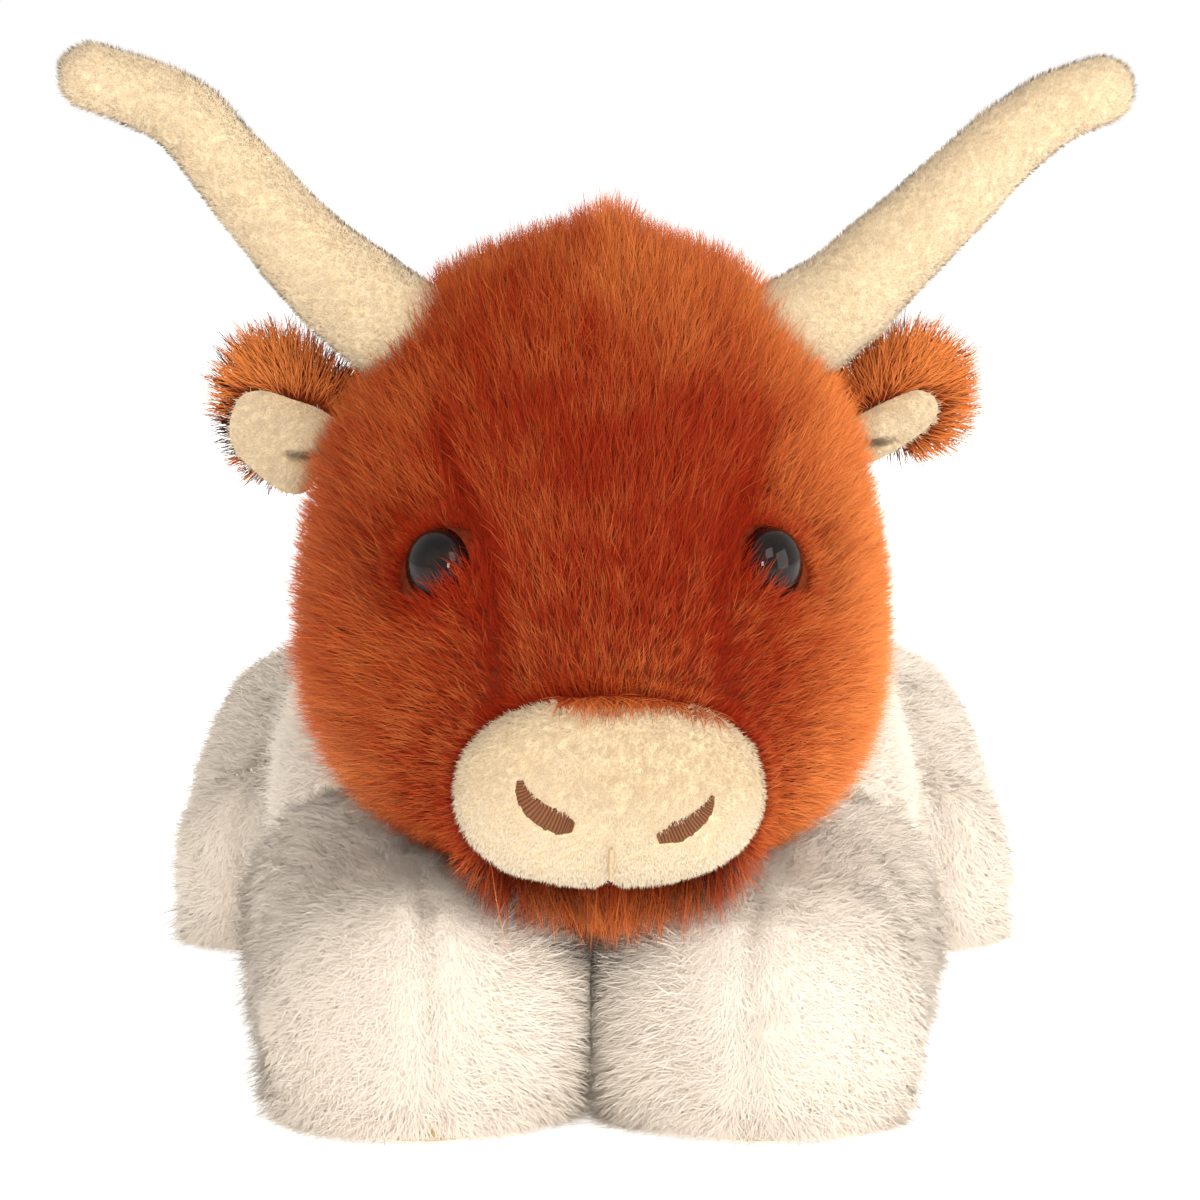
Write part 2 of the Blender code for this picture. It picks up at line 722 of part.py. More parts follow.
def add_muzzle(head):
    """The muzzle panel, its stuffing and its threads, and the cutter for its place in the head."""
    inner = grown(MUZZLE, -MINKY_WALL)._replace(length=MUZZLE_DEPTH - MINKY_WALL)
    hollow_rings = form_rings(inner, INNER_SIDES)
    hollow_rings.append([point + CUT_OVERRUN * BACK for point in hollow_rings[-1]])
    hollow = head.add("muzzle_hollow_cutter", hollow_rings)
    panel = form_rings(MUZZLE, FORM_SIDES)
    cut(head.add("muzzle_skin", panel, "cream_minky"), hollow)
    filling = grown(inner, -SEAT_GAP)._replace(length=inner.length - SEAT_GAP)
    head.add("muzzle_stuffing", form_rings(filling, INNER_SIDES), "stuffing")
    for name, side in SIDES:
        thread = thread_rings(panel, nostril_spots(side), NOSTRIL_RADIUS_SHARES, NOSTRIL_THREAD_RADIUS)
        head.add(f"nostril_{name}", thread, "brown_thread")
    middle_z = MUZZLE.base + 0.5 * MUZZLE.height
    stitch = [(0, middle_z - STITCH_DOWN + (share - 0.5) * STITCH_LENGTH) for share in (0, 0.5, 1)]
    thread = thread_rings(panel, stitch, STITCH_RADIUS_SHARES, STITCH_RADIUS)
    head.add("mouth_stitch", thread, "brown_thread")
    return head.add("muzzle_place_cutter", form_rings(grown(MUZZLE, SEAT_GAP), FORM_SIDES))


def nostril_spots(side):
    """Where a nostril's thread goes on the panel: a bowed line, lower at its inner end."""
    middle_z = MUZZLE.base + 0.5 * MUZZLE.height - NOSTRIL_DOWN
    spots = []
    for k in range(len(NOSTRIL_RADIUS_SHARES)):
        share = k / (len(NOSTRIL_RADIUS_SHARES) - 1) - 0.5
        bow = NOSTRIL_BOW * (1 - 4 * share**2)
        spots.append((side * (NOSTRIL_SPREAD - share * NOSTRIL_WIDTH), middle_z - share * NOSTRIL_DROP - bow))
    return spots


def thread_rings(panel, spots, radius_shares, radius):
    """A satin-stitched thread that lies just in front of the panel."""
    tree = BVHTree.FromPolygons(*surface_of(panel))
    lift = (radius + SEAT_GAP) * THREAD_LIFT_SHARE
    points = []
    for x, z in spots:
        start = Vector((x, MUZZLE_FRONT_Y - CUT_OVERRUN, z))
        place, normal, _, _ = tree.ray_cast(start, BACK)
        points.append(place + lift * (normal if normal.y < 0 else -normal))
    path = smooth_path(points, 2)
    shares = [read_shares(radius_shares, k / (len(path) - 1)) for k in range(len(path))]
    rings = []
    for (place, way), share in zip(path, shares):
        aside = way.cross(BACK).normalized()
        rings.append(circle(place, aside, aside.cross(way).normalized(), share * radius, THREAD_SIDES))
    return rings


def add_head(head, horn_bases, ear_roots):
    neck_room = ball_rings(NECK_PLACE, NECK_RADIUS + JOINT_GAP)
    cutters = [head.add("neck_ball_cutter", neck_room), add_muzzle(head)]
    for name, _ in SIDES:
        room = HORN_BASE_RADIUS + JOINT_GAP
        socket = ball_rings(horn_bases[name], room, HORN_SOCKET_SIDES, HORN_SOCKET_STEPS)
        cutters.append(head.add(f"horn_socket_cutter_{name}", socket))
        socket = ball_rings(ear_roots[name], EAR_ROOT_RADIUS + JOINT_GAP, ROUND_SIDES, ROUND_STEPS)
        cutters.append(head.add(f"ear_socket_cutter_{name}", socket))
    seats, pockets = zip(*(add_eye(head, name, side) for name, side in SIDES))
    cavity = head.add("head_cavity_cutter", form_rings(grown(HEAD, -PLUSH_WALL), INNER_SIDES))
    cut(head.add("head_skin", form_rings(HEAD, FORM_SIDES), "brown_plush"), cavity, *cutters, *seats)
    filling = form_rings(grown(HEAD, -PLUSH_WALL - SEAT_GAP), INNER_SIDES)
    cut(head.add("head_stuffing", filling, "stuffing"), *cutters, *pockets)


def head_side_point(y, angle_deg, side, proud=0.0):
    """A point on the head's side or top, or proud of it, at this angle above level, seen along Y."""
    angle = math.radians(angle_deg)
    widest = CHIN_Z + HEAD.middle * HEAD_HEIGHT
    way = Vector((side * math.cos(angle), 0, math.sin(angle)))
    return surface_point(form_rings(HEAD, FORM_SIDES), Vector((0, y, widest)), way) + proud * way


# Horns and ears


def horn_route(name, side, base, steps):
    reach = HORN_REACH * side * ACROSS
    points = [base + out * reach + up * HORN_RISE * UP for out, up in HORN_PATH_SHARES[name]]
    return smooth_path(points, steps)


def horn_rings(route, thinner, sides, mouth=None):
    """A horn's rings: the round root or an open mouth, the curved length, and the round tip."""
    shares = [read_shares(HORN_RADIUS_SHARES, k / (len(route) - 1)) for k in range(len(route))]
    radii = [HORN_BASE_RADIUS * share - thinner for share in shares]
    base, way = route[0]
    if mouth:
        mouth_radius, depth = mouth
        root = [((base - depth * way, way), mouth_radius), ((base - mouth_radius * way, way), mouth_radius)]
    else:
        root = dome_path(base, way, radii[0], DOME_STEPS, outward=False)
    tip = dome_path(*route[-1], radii[-1], DOME_STEPS, outward=True)
    stations = [*root, *zip(route, radii), *tip]
    path, radii = zip(*stations)
    return tube_rings(path, radii, BACK, sides)


def add_horn(horn, name, side, base):
    coarse = horn_route(name, side, base, 1)
    open_end = (HORN_MOUTH_RADIUS, HORN_BASE_RADIUS + CUT_OVERRUN)
    hollow = horn_rings(coarse, MINKY_WALL, SMALL_SIDES, open_end)
    filled_end = (HORN_MOUTH_RADIUS - SEAT_GAP, HORN_BASE_RADIUS - MINKY_WALL)
    filling = horn_rings(coarse, MINKY_WALL + SEAT_GAP, SMALL_SIDES, filled_end)
    outside = horn_rings(horn_route(name, side, base, 2), 0.0, HORN_SIDES)
    skin = horn.add(f"horn_skin_{name}", outside, "cream_minky")
    cut(skin, horn.add(f"horn_hollow_cutter_{name}", hollow))
    horn.add(f"horn_stuffing_{name}", filling, "stuffing")


def blade_rings(root, side, length, half_height, half_thickness, stations, sides):
    """A flat blade that points outwards, with both its ends drawn to a point."""
    rings = [[root]]
    for along, height, thickness in stations:
        centre = root + along * length * side * ACROSS
        size = (half_thickness * thickness, half_height * height)
        rings.append(ellipse(centre, BACK, side * UP, *size, sides))
    return [*rings, [root + length * side * ACROSS]]


def add_ear(ear, name, side, root):
    blade_size = (EAR_LENGTH, EAR_HALF_HEIGHT, EAR_HALF_THICKNESS)
    blade = blade_rings(root, side, *blade_size, EAR_STATION_SHARES, ROUND_SIDES)
    ball = dome_path(root, side * ACROSS, EAR_ROOT_RADIUS, DOME_STEPS, outward=False)
    path, radii = zip(*ball, ((root, side * ACROSS), EAR_ROOT_RADIUS))
    outer = tube_rings(path, radii, BACK, ROUND_SIDES) + blade[1:]
    spot = root + (LINING_START * side) * ACROSS - LINING_FORWARD * BACK - LINING_DOWN * UP
    size = (LINING_LENGTH, LINING_HALF_HEIGHT, LINING_HALF_THICKNESS)
    lining = blade_rings(spot, side, *size, LINING_STATION_SHARES, SMALL_SIDES)
    ear.add(f"ear_lining_{name}", lining, "cream_minky")
    room_spot = spot - SEAT_GAP * side * ACROSS
    room_size = (
        LINING_LENGTH + 2 * SEAT_GAP,
        LINING_HALF_HEIGHT + SEAT_GAP,
        LINING_HALF_THICKNESS + SEAT_GAP,
    )
    room = blade_rings(room_spot, side, *room_size, LINING_STATION_SHARES, SMALL_SIDES)
    cut(ear.add(f"ear_outer_{name}", outer, "brown_plush"), ear.add(f"ear_lining_room_cutter_{name}", room))


# Legs and tail


def sole_rings(leg, margin, low, high):
    """An upright-sided oval from one height to another, under the toe end of a leg."""
    way = (leg.toe - leg.hinge).normalized()
    half_width = SOLE_HALF_WIDTH_SHARE * leg.toe_radius
    half_length = SOLE_LENGTH_SHARE * leg.toe_radius
    front = leg.toe + leg.toe_radius * (1 - SOLE_TOE_MARGIN_SHARE) * way
    centre = front - half_length * way
    size = (half_width + margin, half_length + margin)
    return [ellipse(centre + z * UP, way.cross(UP), way, *size, 2 * SMALL_SIDES) for z in (low, high)]


def add_leg(joint, part, name, side):
    leg = leg_of(side, part == "foreleg")
    inside = leg_rings(grown_leg(leg, -PLUSH_WALL), INNER_ARC_STEPS)
    hollow = joint.add(f"{part}_hollow_cutter_{name}", inside)
    sole_room = sole_rings(leg, SEAT_GAP, -CUT_OVERRUN, PLUSH_WALL + CUT_OVERRUN)
    opening = joint.add(f"{part}_sole_cutter_{name}", sole_room)
    cut(joint.add(f"{part}_skin_{name}", leg_rings(leg, LEG_ARC_STEPS), "cream_plush"), hollow, opening)
    joint.add(f"{part}_sole_{name}", sole_rings(leg, 0.0, 0.0, SOLE_THICKNESS), "sole_tan")
    bag_place = leg.toe + (PLUSH_WALL + 2 * SEAT_GAP) * UP
    size = PAW_BAG_SHARE * leg.toe_radius
    joint.add(f"{part}_pellet_bag_{name}", bag_rings(bag_place, size, size, PAW_BAG_HEIGHT), "pellet_bag")
    room = bag_rings(bag_place, size, size, PAW_BAG_HEIGHT, margin=SEAT_GAP)
    filling = leg_rings(grown_leg(leg, -PLUSH_WALL - SEAT_GAP), INNER_ARC_STEPS)
    stuffing = joint.add(f"{part}_stuffing_{name}", filling, "stuffing")
    cut(stuffing, joint.add(f"{part}_bag_room_cutter_{name}", room))


def add_tail(tail, root):
    points = [root + back * TAIL_BACK * BACK - down * TAIL_DROP * UP for back, down in TAIL_PATH_SHARES]
    path = smooth_path(points, 2)
    ball = dome_path(*path[0], TAIL_ROOT_RADIUS, DOME_STEPS, outward=False)
    radii = [TAIL_ROOT_RADIUS, *(TAIL_RADIUS for _ in path[1:])]
    places, radii = zip(*ball, *zip(path, radii))
    tail.add("tail_skin", tube_rings(places, radii, ACROSS, SMALL_SIDES), "cream_plush")
    end, way = path[-1]
    start = end + SEAT_GAP * way
    profile = [(share * TUFT_RADIUS, along * TUFT_LENGTH) for along, share in TUFT_STATION_SHARES]
    tail.add("tail_tuft", turned_rings(profile, start, way, SMALL_SIDES), "brown_plush")


clear_scene()
NECK_PLACE = Vector((0, NECK_Y, NECK_Z))
TAIL_ROOT = surface_point(
    form_rings(TORSO, FORM_SIDES), Vector((0, TORSO_FRONT_Y + 0.5 * TORSO_LENGTH, TAIL_ROOT_Z)), BACK
)
body_joint = Joint("torso_frame", Vector())
neck_joint = Joint("neck_turn_axis", NECK_PLACE, body_joint, HEAD_TURN_DEG)
head_joint = Joint("head_nod_axis", NECK_PLACE, neck_joint)
HORN_BASES = {name: head_side_point(HORN_Y, HORN_ANGLE_DEG, side) for name, side in SIDES}
EAR_ROOTS = {name: head_side_point(EAR_Y, EAR_ANGLE_DEG, side, EAR_ROOT_PROUD) for name, side in SIDES}
add_torso(body_joint, TAIL_ROOT)
add_neck(neck_joint)
add_head(head_joint, HORN_BASES, EAR_ROOTS)
for side_name, side_sign in SIDES:
    horn_base = HORN_BASES[side_name]
    ear_root = EAR_ROOTS[side_name]
    add_horn(Joint(f"horn_axis_{side_name}", horn_base, head_joint), side_name, side_sign, horn_base)
    add_ear(Joint(f"ear_axis_{side_name}", ear_root, head_joint), side_name, side_sign, ear_root)
    shoulder = Joint(f"shoulder_axis_{side_name}", leg_of(side_sign, True).hinge, body_joint)
    add_leg(shoulder, "foreleg", side_name, side_sign)
    hip = Joint(f"hip_axis_{side_name}", leg_of(side_sign, False).hinge, body_joint)
    add_leg(hip, "hindleg", side_name, side_sign)
add_tail(Joint("tail_axis", TAIL_ROOT, body_joint), TAIL_ROOT)
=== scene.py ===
"""The looks of a plush longhorn cow that lies on its belly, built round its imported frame.

Metres, +Z up. The face looks along -Y, and left is the toy's own left, at +X.
"""

import json
import math
from collections import namedtuple

import bpy
import numpy as np
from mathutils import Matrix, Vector
from mathutils.bvhtree import BVHTree


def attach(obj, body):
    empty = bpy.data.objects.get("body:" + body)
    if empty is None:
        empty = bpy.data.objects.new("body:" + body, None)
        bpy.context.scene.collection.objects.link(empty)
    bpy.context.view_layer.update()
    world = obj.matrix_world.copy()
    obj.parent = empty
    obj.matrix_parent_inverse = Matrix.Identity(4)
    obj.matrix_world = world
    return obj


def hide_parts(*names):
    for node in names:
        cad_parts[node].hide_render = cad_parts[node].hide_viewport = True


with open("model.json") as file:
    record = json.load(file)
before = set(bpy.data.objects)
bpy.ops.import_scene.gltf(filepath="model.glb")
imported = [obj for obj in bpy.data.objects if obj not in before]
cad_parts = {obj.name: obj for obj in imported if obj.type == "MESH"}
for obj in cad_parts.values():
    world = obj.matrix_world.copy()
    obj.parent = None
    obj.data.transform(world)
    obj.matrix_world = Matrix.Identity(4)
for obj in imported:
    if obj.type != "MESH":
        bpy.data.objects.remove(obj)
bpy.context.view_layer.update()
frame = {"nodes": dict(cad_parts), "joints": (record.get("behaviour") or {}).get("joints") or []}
HINGES = {joint["name"]: np.array(joint["pos_m"], float) for joint in frame["joints"]}

SIDES = (("left", 1), ("right", -1))
UP = np.array((0.0, 0.0, 1.0))
ACROSS = np.array((1.0, 0.0, 0.0))
BACK = np.array((0.0, 1.0, 0.0))
MM = 0.001
HEAD_TURN_DEG = 2.0

# The sewn shapes, in the sizes of the solids that they cover
Form = namedtuple("Form", "start length half_width base height stations middle upper lower")
Leg = namedtuple("Leg", "hinge toe hinge_radius toe_radius waist hinge_height toe_height waist_height")

TORSO = Form(
    start=-0.052,
    length=0.188,
    half_width=0.0705,
    base=0.0,
    height=0.092,
    stations=(
        (0.0, 0.0, 0.33, 0.33),
        (0.025, 0.48, 0.10, 0.54),
        (0.07, 0.74, 0.03, 0.675),
        (0.14, 0.91, 0.0, 0.835),
        (0.235, 0.98, 0.0, 0.945),
        (0.37, 0.995, 0.0, 0.985),
        (0.53, 1.0, 0.0, 1.0),
        (0.69, 0.98, 0.0, 0.98),
        (0.83, 0.865, 0.0, 0.89),
        (0.925, 0.65, 0.01, 0.74),
        (0.98, 0.40, 0.07, 0.57),
        (1.0, 0.0, 0.33, 0.33),
    ),
    middle=0.42,
    upper=2.1,
    lower=3.0,
)
HEAD = Form(
    start=-0.146,
    length=0.122,
    half_width=0.0555,
    base=0.0488,
    height=0.117,
    stations=(
        (0.0, 0.0, 0.165, 0.165),
        (0.033, 0.47, 0.03, 0.30),
        (0.098, 0.65, 0.004, 0.40),
        (0.197, 0.80, 0.0, 0.585),
        (0.328, 0.93, 0.0, 0.79),
        (0.475, 1.0, 0.002, 0.935),
        (0.639, 0.99, 0.02, 1.0),
        (0.787, 0.885, 0.10, 0.97),
        (0.902, 0.70, 0.215, 0.85),
        (0.975, 0.43, 0.34, 0.68),
        (1.0, 0.0, 0.51, 0.51),
    ),
    middle=0.40,
    upper=2.0,
    lower=2.8,
)
MUZZLE = Form(
    start=-0.152,
    length=0.016,
    half_width=0.0295,
    base=0.0492,
    height=0.0365,
    stations=(
        (0.0, 0.0, 0.50, 0.50),
        (0.05, 0.46, 0.27, 0.73),
        (0.17, 0.76, 0.12, 0.88),
        (0.40, 0.94, 0.03, 0.97),
        (0.70, 1.0, 0.0, 1.0),
        (1.0, 0.97, 0.015, 0.985),
    ),
    middle=0.5,
    upper=2.4,
    lower=2.4,
)
NECK = Form(
    start=-0.0667,
    length=0.0534,
    half_width=0.0267,
    base=0.0403,
    height=0.0534,
    stations=(
        (0.0, 0.0, 0.5, 0.5),
        (0.067, 0.5, 0.25, 0.75),
        (0.25, 0.866, 0.067, 0.933),
        (0.5, 1.0, 0.0, 1.0),
        (0.75, 0.866, 0.067, 0.933),
        (0.933, 0.5, 0.25, 0.75),
        (1.0, 0.0, 0.5, 0.5),
    ),
    middle=0.5,
    upper=2.0,
    lower=2.0,
)
LEG_LEVELS = ((0.0, 0.84), (0.10, 0.945), (0.27, 1.0), (0.54, 1.0), (0.76, 0.89), (0.91, 0.66), (1.0, 0.28))
HORN_PATHS = {
    "left": ((0.0, 0.0), (0.20, 0.17), (0.40, 0.40), (0.63, 0.68), (0.81, 0.86), (0.975, 0.95)),
    "right": ((0.0, 0.0), (0.22, 0.22), (0.39, 0.43), (0.56, 0.68), (0.72, 0.89), (0.96, 1.0)),
}
HORN_RADII = (1.0, 0.91, 0.80, 0.72, 0.66, 0.61)
HORN_RADIUS, HORN_REACH, HORN_RISE = 0.0122, 0.066, 0.053
# The radius of a horn's stub, which goes as far into the head
HORN_STUB = 0.009
EAR_LENGTH, EAR_HALF_THICKNESS = 0.0285, 0.0055
# How far each ear sits above its root, and its half height
EAR_SIT = {"left": (0.0030, 0.0125), "right": (0.0, 0.0155)}
# Each lining's middle, out and up from the ear's root, and its outline, in millimetres
LINING_MIDDLE = {"left": (12.8, -3.0), "right": (15.0, -5.2)}
LINING_OUTLINE = {
    "left": (
        *((9.0, 3.0), (8.2, 6.2), (5.0, 7.6), (1.4, 6.6), (-4.6, 3.8), (-10.2, 0.6)),
        *((-9.6, -2.8), (-7.0, -5.2), (-4.8, -7.2), (-1.6, -5.8), (2.4, -3.4), (6.6, -0.4)),
    ),
    "right": (
        *((11.2, 3.0), (9.0, 8.8), (4.5, 10.2), (-1.0, 8.6), (-7.5, 6.2), (-12.2, 2.2)),
        *((-10.5, -2.4), (-7.0, -6.2), (-4.2, -10.4), (0.2, -10.5), (5.5, -6.8), (10.0, -2.0)),
    ),
}
# How far out each of an ear's rings is, and its height and thickness, as shares of the ear's
EAR_ROWS = (
    (0.0, 0.36, 1.05),
    (0.18, 0.46, 0.95),
    (0.36, 0.74, 1.0),
    (0.58, 1.0, 0.95),
    (0.78, 0.93, 0.80),
    (0.92, 0.66, 0.58),
    (1.0, 0.06, 0.06),
)
# The eyes' radius, how far they stand out, and how deep their rims and their bare spots go
EYE_RADIUS, EYE_DOME, EYE_RIM, EYE_DEPTH = 0.0075, 0.0052, 0.0022, 0.012
EYE_AZIMUTH = math.radians(52.0)
# How far round the horns' and the ears' roots no pile grows
HORN_BARE, EAR_BARE = 0.0095, 0.0045
TAIL_PATH = ((0.0, 0.0), (0.62, 0.10), (0.92, 0.42), (1.0, 1.0))
TAIL_BACK, TAIL_DROP = 0.0125, 0.024
TUFT_LENGTH = 0.022

# The pile grows from this far inside the solids' surface
PLUSH_BACKING = 0.0020
HEAD_BACKING = 0.0030
MINKY_BACKING = 0.0010
EAR_BACKING = 0.0022
# The room that the body's cover leaves round the legs
LEG_ROOM = 0.0007
# The pile ends this far above the floor, and a piece of it has at most this many strands
FLOOR_GAP = 0.0003
MOST_STRANDS = 38000


def leg_of(side, front):
    if front:
        return Leg(
            hinge=np.array((side * 0.043, -0.038, 0.0)),
            toe=np.array((side * 0.0335, -0.1165, 0.0)),
            hinge_radius=0.030,
            toe_radius=0.0305,
            waist=0.0275,
            hinge_height=0.0475,
            toe_height=0.0475,
            waist_height=0.0455,
        )
    return Leg(
        hinge=np.array((side * 0.0575, 0.088, 0.0)),
        toe=np.array((side * 0.0735, 0.0385, 0.0)),
        hinge_radius=0.035,
        toe_radius=0.0205,
        waist=0.028,
        hinge_height=0.060,
        toe_height=0.040,
        waist_height=0.052,
    )


# Numbers and noise


def unit(vectors):
    return vectors / np.maximum(np.linalg.norm(vectors, axis=-1, keepdims=True), 1e-12)


def dot(first, second):
    return (first * second).sum(-1, keepdims=True)


def bent(values, power):
    return np.sign(values) * np.abs(values) ** (2 / power)


def bell(values, width, power=2):
    """1 where the values are 0, falling off to nearly 0 past the width."""
    return np.exp(-((values / width) ** power))


def eased(values, low, high):
    """0 below low, 1 above high, and smooth between them."""
    t = np.clip((values - low) / (high - low), 0, 1)
    return t * t * (3 - 2 * t)


def smooth_rows(rows, steps, looped=False):
    """Rows of numbers with smooth ones between them."""
    rows = np.array(rows, float)
    if looped:
        ends = np.concatenate([rows[-1:], rows, rows[:2]])
        count = len(rows)
    else:
        ends = np.concatenate([2 * rows[:1] - rows[1:2], rows, 2 * rows[-1:] - rows[-2:-1]])
        count = len(rows) - 1
    found = []
    for k in range(count):
        a, b, c, d = ends[k : k + 4]
        for t in np.arange(steps) / steps:
            squared = (2 * a - 5 * b + 4 * c - d) * t**2
            found.append(0.5 * (2 * b + (c - a) * t + squared + (3 * b - a - 3 * c + d) * t**3))
    return np.array(found if looped else [*found, rows[-1]])


def cell_number(cells, seed):
    """A repeatable number from 0 to 1 for each cell of three whole numbers."""
    mixed = cells[..., 0] * 73856093 ^ cells[..., 1] * 19349663 ^ cells[..., 2] * 83492791 ^ seed * 40503
    mixed = (mixed & 0xFFFFFFFF).astype(np.uint64)
    for shift, factor in ((16, 0x7FEB352D), (15, 0x846CA68B)):
        mixed = ((mixed ^ (mixed >> np.uint64(shift))) * np.uint64(factor)) & np.uint64(0xFFFFFFFF)
    mixed ^= mixed >> np.uint64(16)
    return mixed.astype(float) / 2**32


def noise(points, size, seed):
    """Smooth noise from -1 to 1 whose lumps are about this size."""
    spots = points / size
    cells = np.floor(spots).astype(np.int64)
    t = spots - cells
    t = t * t * (3 - 2 * t)
    total = np.zeros(points.shape[:-1])
    for corner in np.ndindex(2, 2, 2):
        weight = np.prod(np.where(np.array(corner), t, 1 - t), axis=-1)
        total += weight * cell_number(cells + np.array(corner), seed)
    return 2 * total - 1


def clump_centres(points, size, seed):
    """The nearest clump's centre for each point, and a number that is the clump's own."""
    cells = np.floor(points / size).astype(np.int64)
    best = np.full(len(points), np.inf)
    centres = np.zeros_like(points)
    marks = np.zeros(len(points))
    for shift in np.ndindex(3, 3, 3):
        cell = cells + np.array(shift) - 1
        jitter = np.stack([cell_number(cell, seed + k) for k in range(3)], axis=-1)
        centre = (cell + jitter) * size
        apart = ((centre - points) ** 2).sum(-1)
        nearer = apart < best
        best = np.where(nearer, apart, best)
        centres[nearer] = centre[nearer]
        marks[nearer] = cell_number(cell, seed + 7)[nearer]
    return centres, marks


def wander(points, size, seed):
    """A smooth direction for each point, which changes over about this size."""
    return np.stack([noise(points, size, seed + k) for k in range(3)], axis=-1)


def even_tone(middle):
    """The tone of a pile that has no pattern: clumps and strands that vary round a middle."""
    return lambda places, marks, own: np.clip(middle + 0.3 * (marks - 0.5) + 0.4 * (own - 0.5), 0, 1)


def turned(ways, degrees=HEAD_TURN_DEG):
    """Directions turned about the vertical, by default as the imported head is."""
    cosine, sine = math.cos(math.radians(degrees)), math.sin(math.radians(degrees))
    return ways @ np.array(((cosine, sine, 0), (-sine, cosine, 0), (0, 0, 1)))


def head_turned(points):
    """Points of the unturned head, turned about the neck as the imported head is."""
    return turned(points - HINGES["neck_turn"]) + HINGES["neck_turn"]


def head_unturned(points):
    return turned(points - HINGES["neck_turn"], -HEAD_TURN_DEG) + HINGES["neck_turn"]


# Covers: grids of points, row by row round a shape


def form_grid(form, inset, steps=6, sides=112):
    along, width, low, high = smooth_rows(form.stations, steps).T[:, :, None]
    width = np.clip(width, 0.0, None)
    base, height = form.base + inset, form.height - 2 * inset
    angle = 2 * np.pi * np.arange(sides) / sides
    lowest, highest = base + low * height, base + high * height
    middle = lowest + form.middle * (highest - lowest)
    above = np.sin(angle) > 0
    power = np.where(above, form.upper, form.lower)
    x = width * (form.half_width - inset) * bent(np.cos(angle), power)
    y = form.start + inset + along * (form.length - 2 * inset) + 0 * x
    z = middle + np.where(above, highest - middle, middle - lowest) * bent(np.sin(angle), power)
    return np.stack([x, y, z], axis=-1)


def leg_grid(leg, inset, steps=4):
    way = unit(leg.toe - leg.hinge)
    aside = np.cross(way, UP)
    base = 0.35 * inset
    rings = []
    for level, share in LEG_LEVELS:
        half = []
        for k in range(6):
            angle = 0.1 * np.pi * k
            reach = (leg.hinge_radius - inset) * share
            spot = leg.hinge + reach * (math.sin(angle) * aside - math.cos(angle) * way)
            half.append((spot, leg.hinge_height - inset))
        spot = 0.5 * (leg.hinge + leg.toe) + (leg.waist - inset) * share * aside
        half.append((spot, leg.waist_height - inset))
        for k in range(6):
            angle = 0.1 * np.pi * k
            reach = (leg.toe_radius - inset) * share
            out = bent(np.array(math.cos(angle)), 2.3)
            ahead = bent(np.array(math.sin(angle)), 2.3)
            half.append((leg.toe + reach * (out * aside + ahead * way), leg.toe_height - inset))
        ring = [spot + (base + level * (height - base)) * UP for spot, height in half]
        other = [point - 2 * ((point - leg.hinge) @ aside) * aside for point in ring[-2:0:-1]]
        rings.append(smooth_rows(ring + other, steps, looped=True))
    rings = smooth_rows(np.array(rings), steps)
    bottom = [rings[0].mean(0) + share * (rings[0] - rings[0].mean(0)) for share in (0.02, 0.5, 0.85)]
    middle = rings[-1].mean(0)
    closing = ((0.6, 0.10), (0.02, 0.14))
    top = [middle + share * (rings[-1] - middle) + lift * inset * UP for share, lift in closing]
    return np.array([*bottom, *rings, *top])


def tube_grid(path, radii, normal, sides=40):
    """Rings along a path that lies square to the normal, closed by a dome at its end."""
    ways = unit(np.gradient(path, axis=0))
    angle = 2 * np.pi * np.arange(sides) / sides
    rings = []
    for place, way, radius in zip(path, ways, radii):
        across = np.cross(way, normal)
        rings.append(place + radius * (np.cos(angle)[:, None] * normal + np.sin(angle)[:, None] * across))
    place, way, radius = path[-1], ways[-1], radii[-1]
    across = np.cross(way, normal)
    for k in range(1, 9):
        lean = 0.5 * np.pi * k / 8.1
        round_it = radius * math.cos(lean)
        centre = place + radius * math.sin(lean) * way
        rings.append(centre + round_it * (np.cos(angle)[:, None] * normal + np.sin(angle)[:, None] * across))
    return np.array(rings)


def grid_normals(grid):
    """Outward normals of a closed grid."""
    rows = np.gradient(grid, axis=0)
    around = np.roll(grid, -1, axis=1) - np.roll(grid, 1, axis=1)
    normals = np.cross(around, rows)
    size = np.linalg.norm(normals, axis=-1, keepdims=True)
    middle = grid.mean(axis=1, keepdims=True)
    outward = grid - middle
    pole = grid - grid.mean(axis=(0, 1))
    normals = np.where(size > 1e-12, normals, pole)
    sign = np.sign((unit(normals) * unit(outward)).sum(-1)[2:-2].mean())
    normals = unit(normals * (sign if sign else 1))
    across = np.linalg.norm(outward, axis=-1).max(axis=1)
    for end, beside in ((0, 1), (-1, -2)):
        if across[end] < 0.3 * MM:
            normals[end] = unit(normals[beside].mean(axis=0))
    return normals


def grid_faces(rows, sides):
    k = np.arange(rows * sides).reshape(rows, sides)
    after = np.roll(k, -1, axis=1)
    return np.stack([k[:-1], after[:-1], after[1:], k[1:]], axis=-1).reshape(-1, 4)


def solid_of(grid):
    rows, sides = grid.shape[:2]
    faces = [tuple(face) for face in grid_faces(rows, sides).tolist()]
    faces += [tuple(range(sides))[::-1], tuple((rows - 1) * sides + k for k in range(sides))]
    return BVHTree.FromPolygons(grid.reshape(-1, 3).tolist(), faces)


def inside(tree, point):
    """True where a point lies inside a closed solid, so that a ray from it crosses an odd number of faces."""
    way = Vector((0.31, 0.17, 0.93)).normalized()
    crossings = 0
    hit = tree.ray_cast(point, way)[0]
    while hit is not None:
        crossings += 1
        hit = tree.ray_cast(hit + 1e-6 * way, way)[0]
    return crossings % 2 == 1


